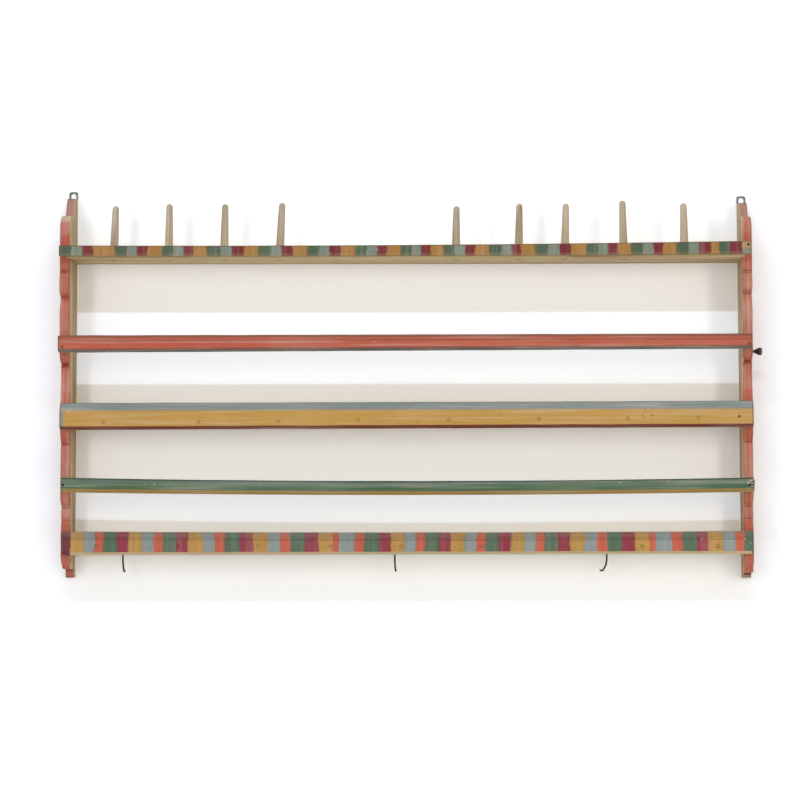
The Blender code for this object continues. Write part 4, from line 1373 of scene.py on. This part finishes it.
# Stage, light and camera, in metres and degrees.
WHITE = (1.0, 1.0, 1.0, 1.0)
WALL_GAP = 0.0006
WALL_SIZE = (5.0, 4.4)
WALL_GAIN = 0.25  # how much paler the wall and the floor are seen than they are lit
WALL_GLOW = 0.04
FLOOR_GLOW = 0.3
WALL_TOUCH = 0.004  # the wall lets light through to what touches it, so that backs are seen lit
FLOOR_LEVEL = -1.15
FLOOR_REACH = 8.0
CAMERA_PLACE = (0.160, -4.400, -0.249)
CAMERA_YAW = 2.24  # to the left
CAMERA_PITCH = 3.875  # up
CAMERA_ROLL = -0.13
SENSOR = 36.0
LENS = 93.2
WORLD_LEVEL = 0.545
WORLD_COLOUR = (1.0, 0.99, 0.975, 1.0)
LAMPS = (  # places, sizes, powers and colours
    ("ceiling lamp", (0.0, -2.0, 2.12), (2.0, 0.06), 29.0, (0.66, 0.8, 1.0)),
    ("left lamp", (-1.6, -2.42, 0.45), (0.4, 1.4), 10.2, (0.95, 0.96, 1.0)),
    ("right lamp", (2.15, -2.42, 0.45), (0.4, 1.4), 12.7, (1.0, 0.92, 0.76)),
    ("back lamp", (0.0, 2.6, 1.2), (1.6, 1.0), 50.0, (1.0, 1.0, 1.0)),
)


def plane(name, corners, finish):
    mesh = bpy.data.meshes.new(name)
    mesh.from_pydata(corners, [], [(0, 1, 2, 3)])
    mesh.materials.append(finish)
    made = bpy.data.objects.new(name, mesh)
    bpy.context.scene.collection.objects.link(made)


def seen_rays(nodes):
    """1 for what the camera sees, also in a reflection or through glass."""
    straight, glossy, through = nodes.node(
        "LightPath", {}, {}, "Is Camera Ray", "Is Glossy Ray", "Is Transmission Ray"
    )
    return (straight + glossy + through).limited()


def pale_surface(finish, tone, relief, glow):
    """Plain plaster that is seen a little paler than it is lit, and keeps its shadows."""
    plaster = finish.node("BsdfDiffuse", {}, {"Color": tone, "Normal": relief}, 0)
    paler = finish.node("BsdfDiffuse", {}, {"Color": (WALL_GAIN, WALL_GAIN, WALL_GAIN, 1.0)}, 0)
    shine = finish.node("Emission", {}, {"Color": WHITE, "Strength": glow}, 0)
    seen = finish.node("AddShader", {}, {0: paler, 1: shine}, 0)
    seen = finish.node("AddShader", {}, {0: plaster, 1: seen}, 0)
    return finish.node("MixShader", {}, {0: seen_rays(finish), 1: plaster, 2: seen}, 0)


def wall_finish():
    """Pale plaster that keeps shadows in front and lets the view through from behind."""
    finish = Finish("pale wall")
    behind = finish.node("NewGeometry", {}, {}, "Backfacing")
    speck = finish.noise(40.0, detail=3.0)
    tone = finish.mix(rgb(249, 249, 249), rgb(251, 251, 251), speck)
    front = pale_surface(finish, tone, finish.bump(speck, 0.05), WALL_GLOW)
    diffuse, shadow, length = finish.node(
        "LightPath", {}, {}, "Is Diffuse Ray", "Is Shadow Ray", "Ray Length"
    )
    touching = (diffuse + shadow) * (WALL_TOUCH - length).above(0.0, 0.0001)
    clear = finish.node("BsdfTransparent", {}, {}, 0)
    shader = finish.node("MixShader", {}, {0: (behind + touching).limited(), 1: front, 2: clear}, 0)
    finish.node("OutputMaterial", {}, {"Surface": shader})
    return finish.material


def floor_finish():
    finish = Finish("pale floor")
    speck = finish.noise(30.0, detail=3.0)
    tone = finish.mix(rgb(238, 238, 237), rgb(243, 243, 242), speck)
    shader = pale_surface(finish, tone, finish.bump(speck, 0.2), FLOOR_GLOW)
    finish.node("OutputMaterial", {}, {"Surface": shader})
    return finish.material


def make_stage():
    corners = ((-1, -1), (1, -1), (1, 1), (-1, 1))
    half, tall = WALL_SIZE[0] / 2, WALL_SIZE[1] / 2
    plane("wall", [(x * half, WALL_GAP, z * tall) for x, z in corners], wall_finish())
    floor = [(x * FLOOR_REACH, y * FLOOR_REACH, FLOOR_LEVEL) for x, y in corners]
    plane("floor", floor, floor_finish())


def make_world():
    world = bpy.data.worlds.new("studio")
    bpy.context.scene.world = world
    nodes = Nodes(world)
    light = nodes.node("Background", {}, {"Color": WORLD_COLOUR, "Strength": WORLD_LEVEL}, 0)
    backdrop = nodes.node("Background", {}, {"Color": WHITE, "Strength": 1.0}, 0)
    shader = nodes.node("MixShader", {}, {0: seen_rays(nodes), 1: light, 2: backdrop}, 0)
    nodes.node("OutputWorld", {}, {"Surface": shader})


def make_lamps():
    for name, spot, size, power, colour in LAMPS:
        lamp = bpy.data.lights.new(name, "AREA")
        lamp.shape = "RECTANGLE"
        lamp.size, lamp.size_y = size
        lamp.energy = power
        lamp.color = colour
        made = bpy.data.objects.new(name, lamp)
        made.location = spot
        made.rotation_euler = (-Vector(spot)).to_track_quat("-Z", "Y").to_euler()
        bpy.context.scene.collection.objects.link(made)


def make_camera():
    yaw, pitch, roll = (math.radians(a) for a in (CAMERA_YAW, CAMERA_PITCH, CAMERA_ROLL))
    forward = Vector((-math.sin(yaw) * math.cos(pitch), math.cos(yaw) * math.cos(pitch), math.sin(pitch)))
    right = Vector((math.cos(yaw), math.sin(yaw), 0.0))
    up = right.cross(forward)
    tilted = math.cos(roll) * right + math.sin(roll) * up
    upright = math.cos(roll) * up - math.sin(roll) * right
    camera = bpy.data.cameras.new("camera")
    camera.sensor_width = SENSOR
    camera.lens = LENS
    made = bpy.data.objects.new("camera", camera)
    turn = Matrix((tilted, upright, -forward)).transposed()
    made.matrix_world = Matrix.Translation(CAMERA_PLACE) @ turn.to_4x4()
    bpy.context.scene.collection.objects.link(made)
    bpy.context.scene.camera = made


make_camera()
boards = board_finish("coral board")
make_side("left", -1, boards)
make_side("right", 1, boards)
make_shelves()
make_rails()
make_small_pieces()
make_stage()
make_world()
make_lamps()
bpy.context.scene.view_settings.view_transform = "Standard"
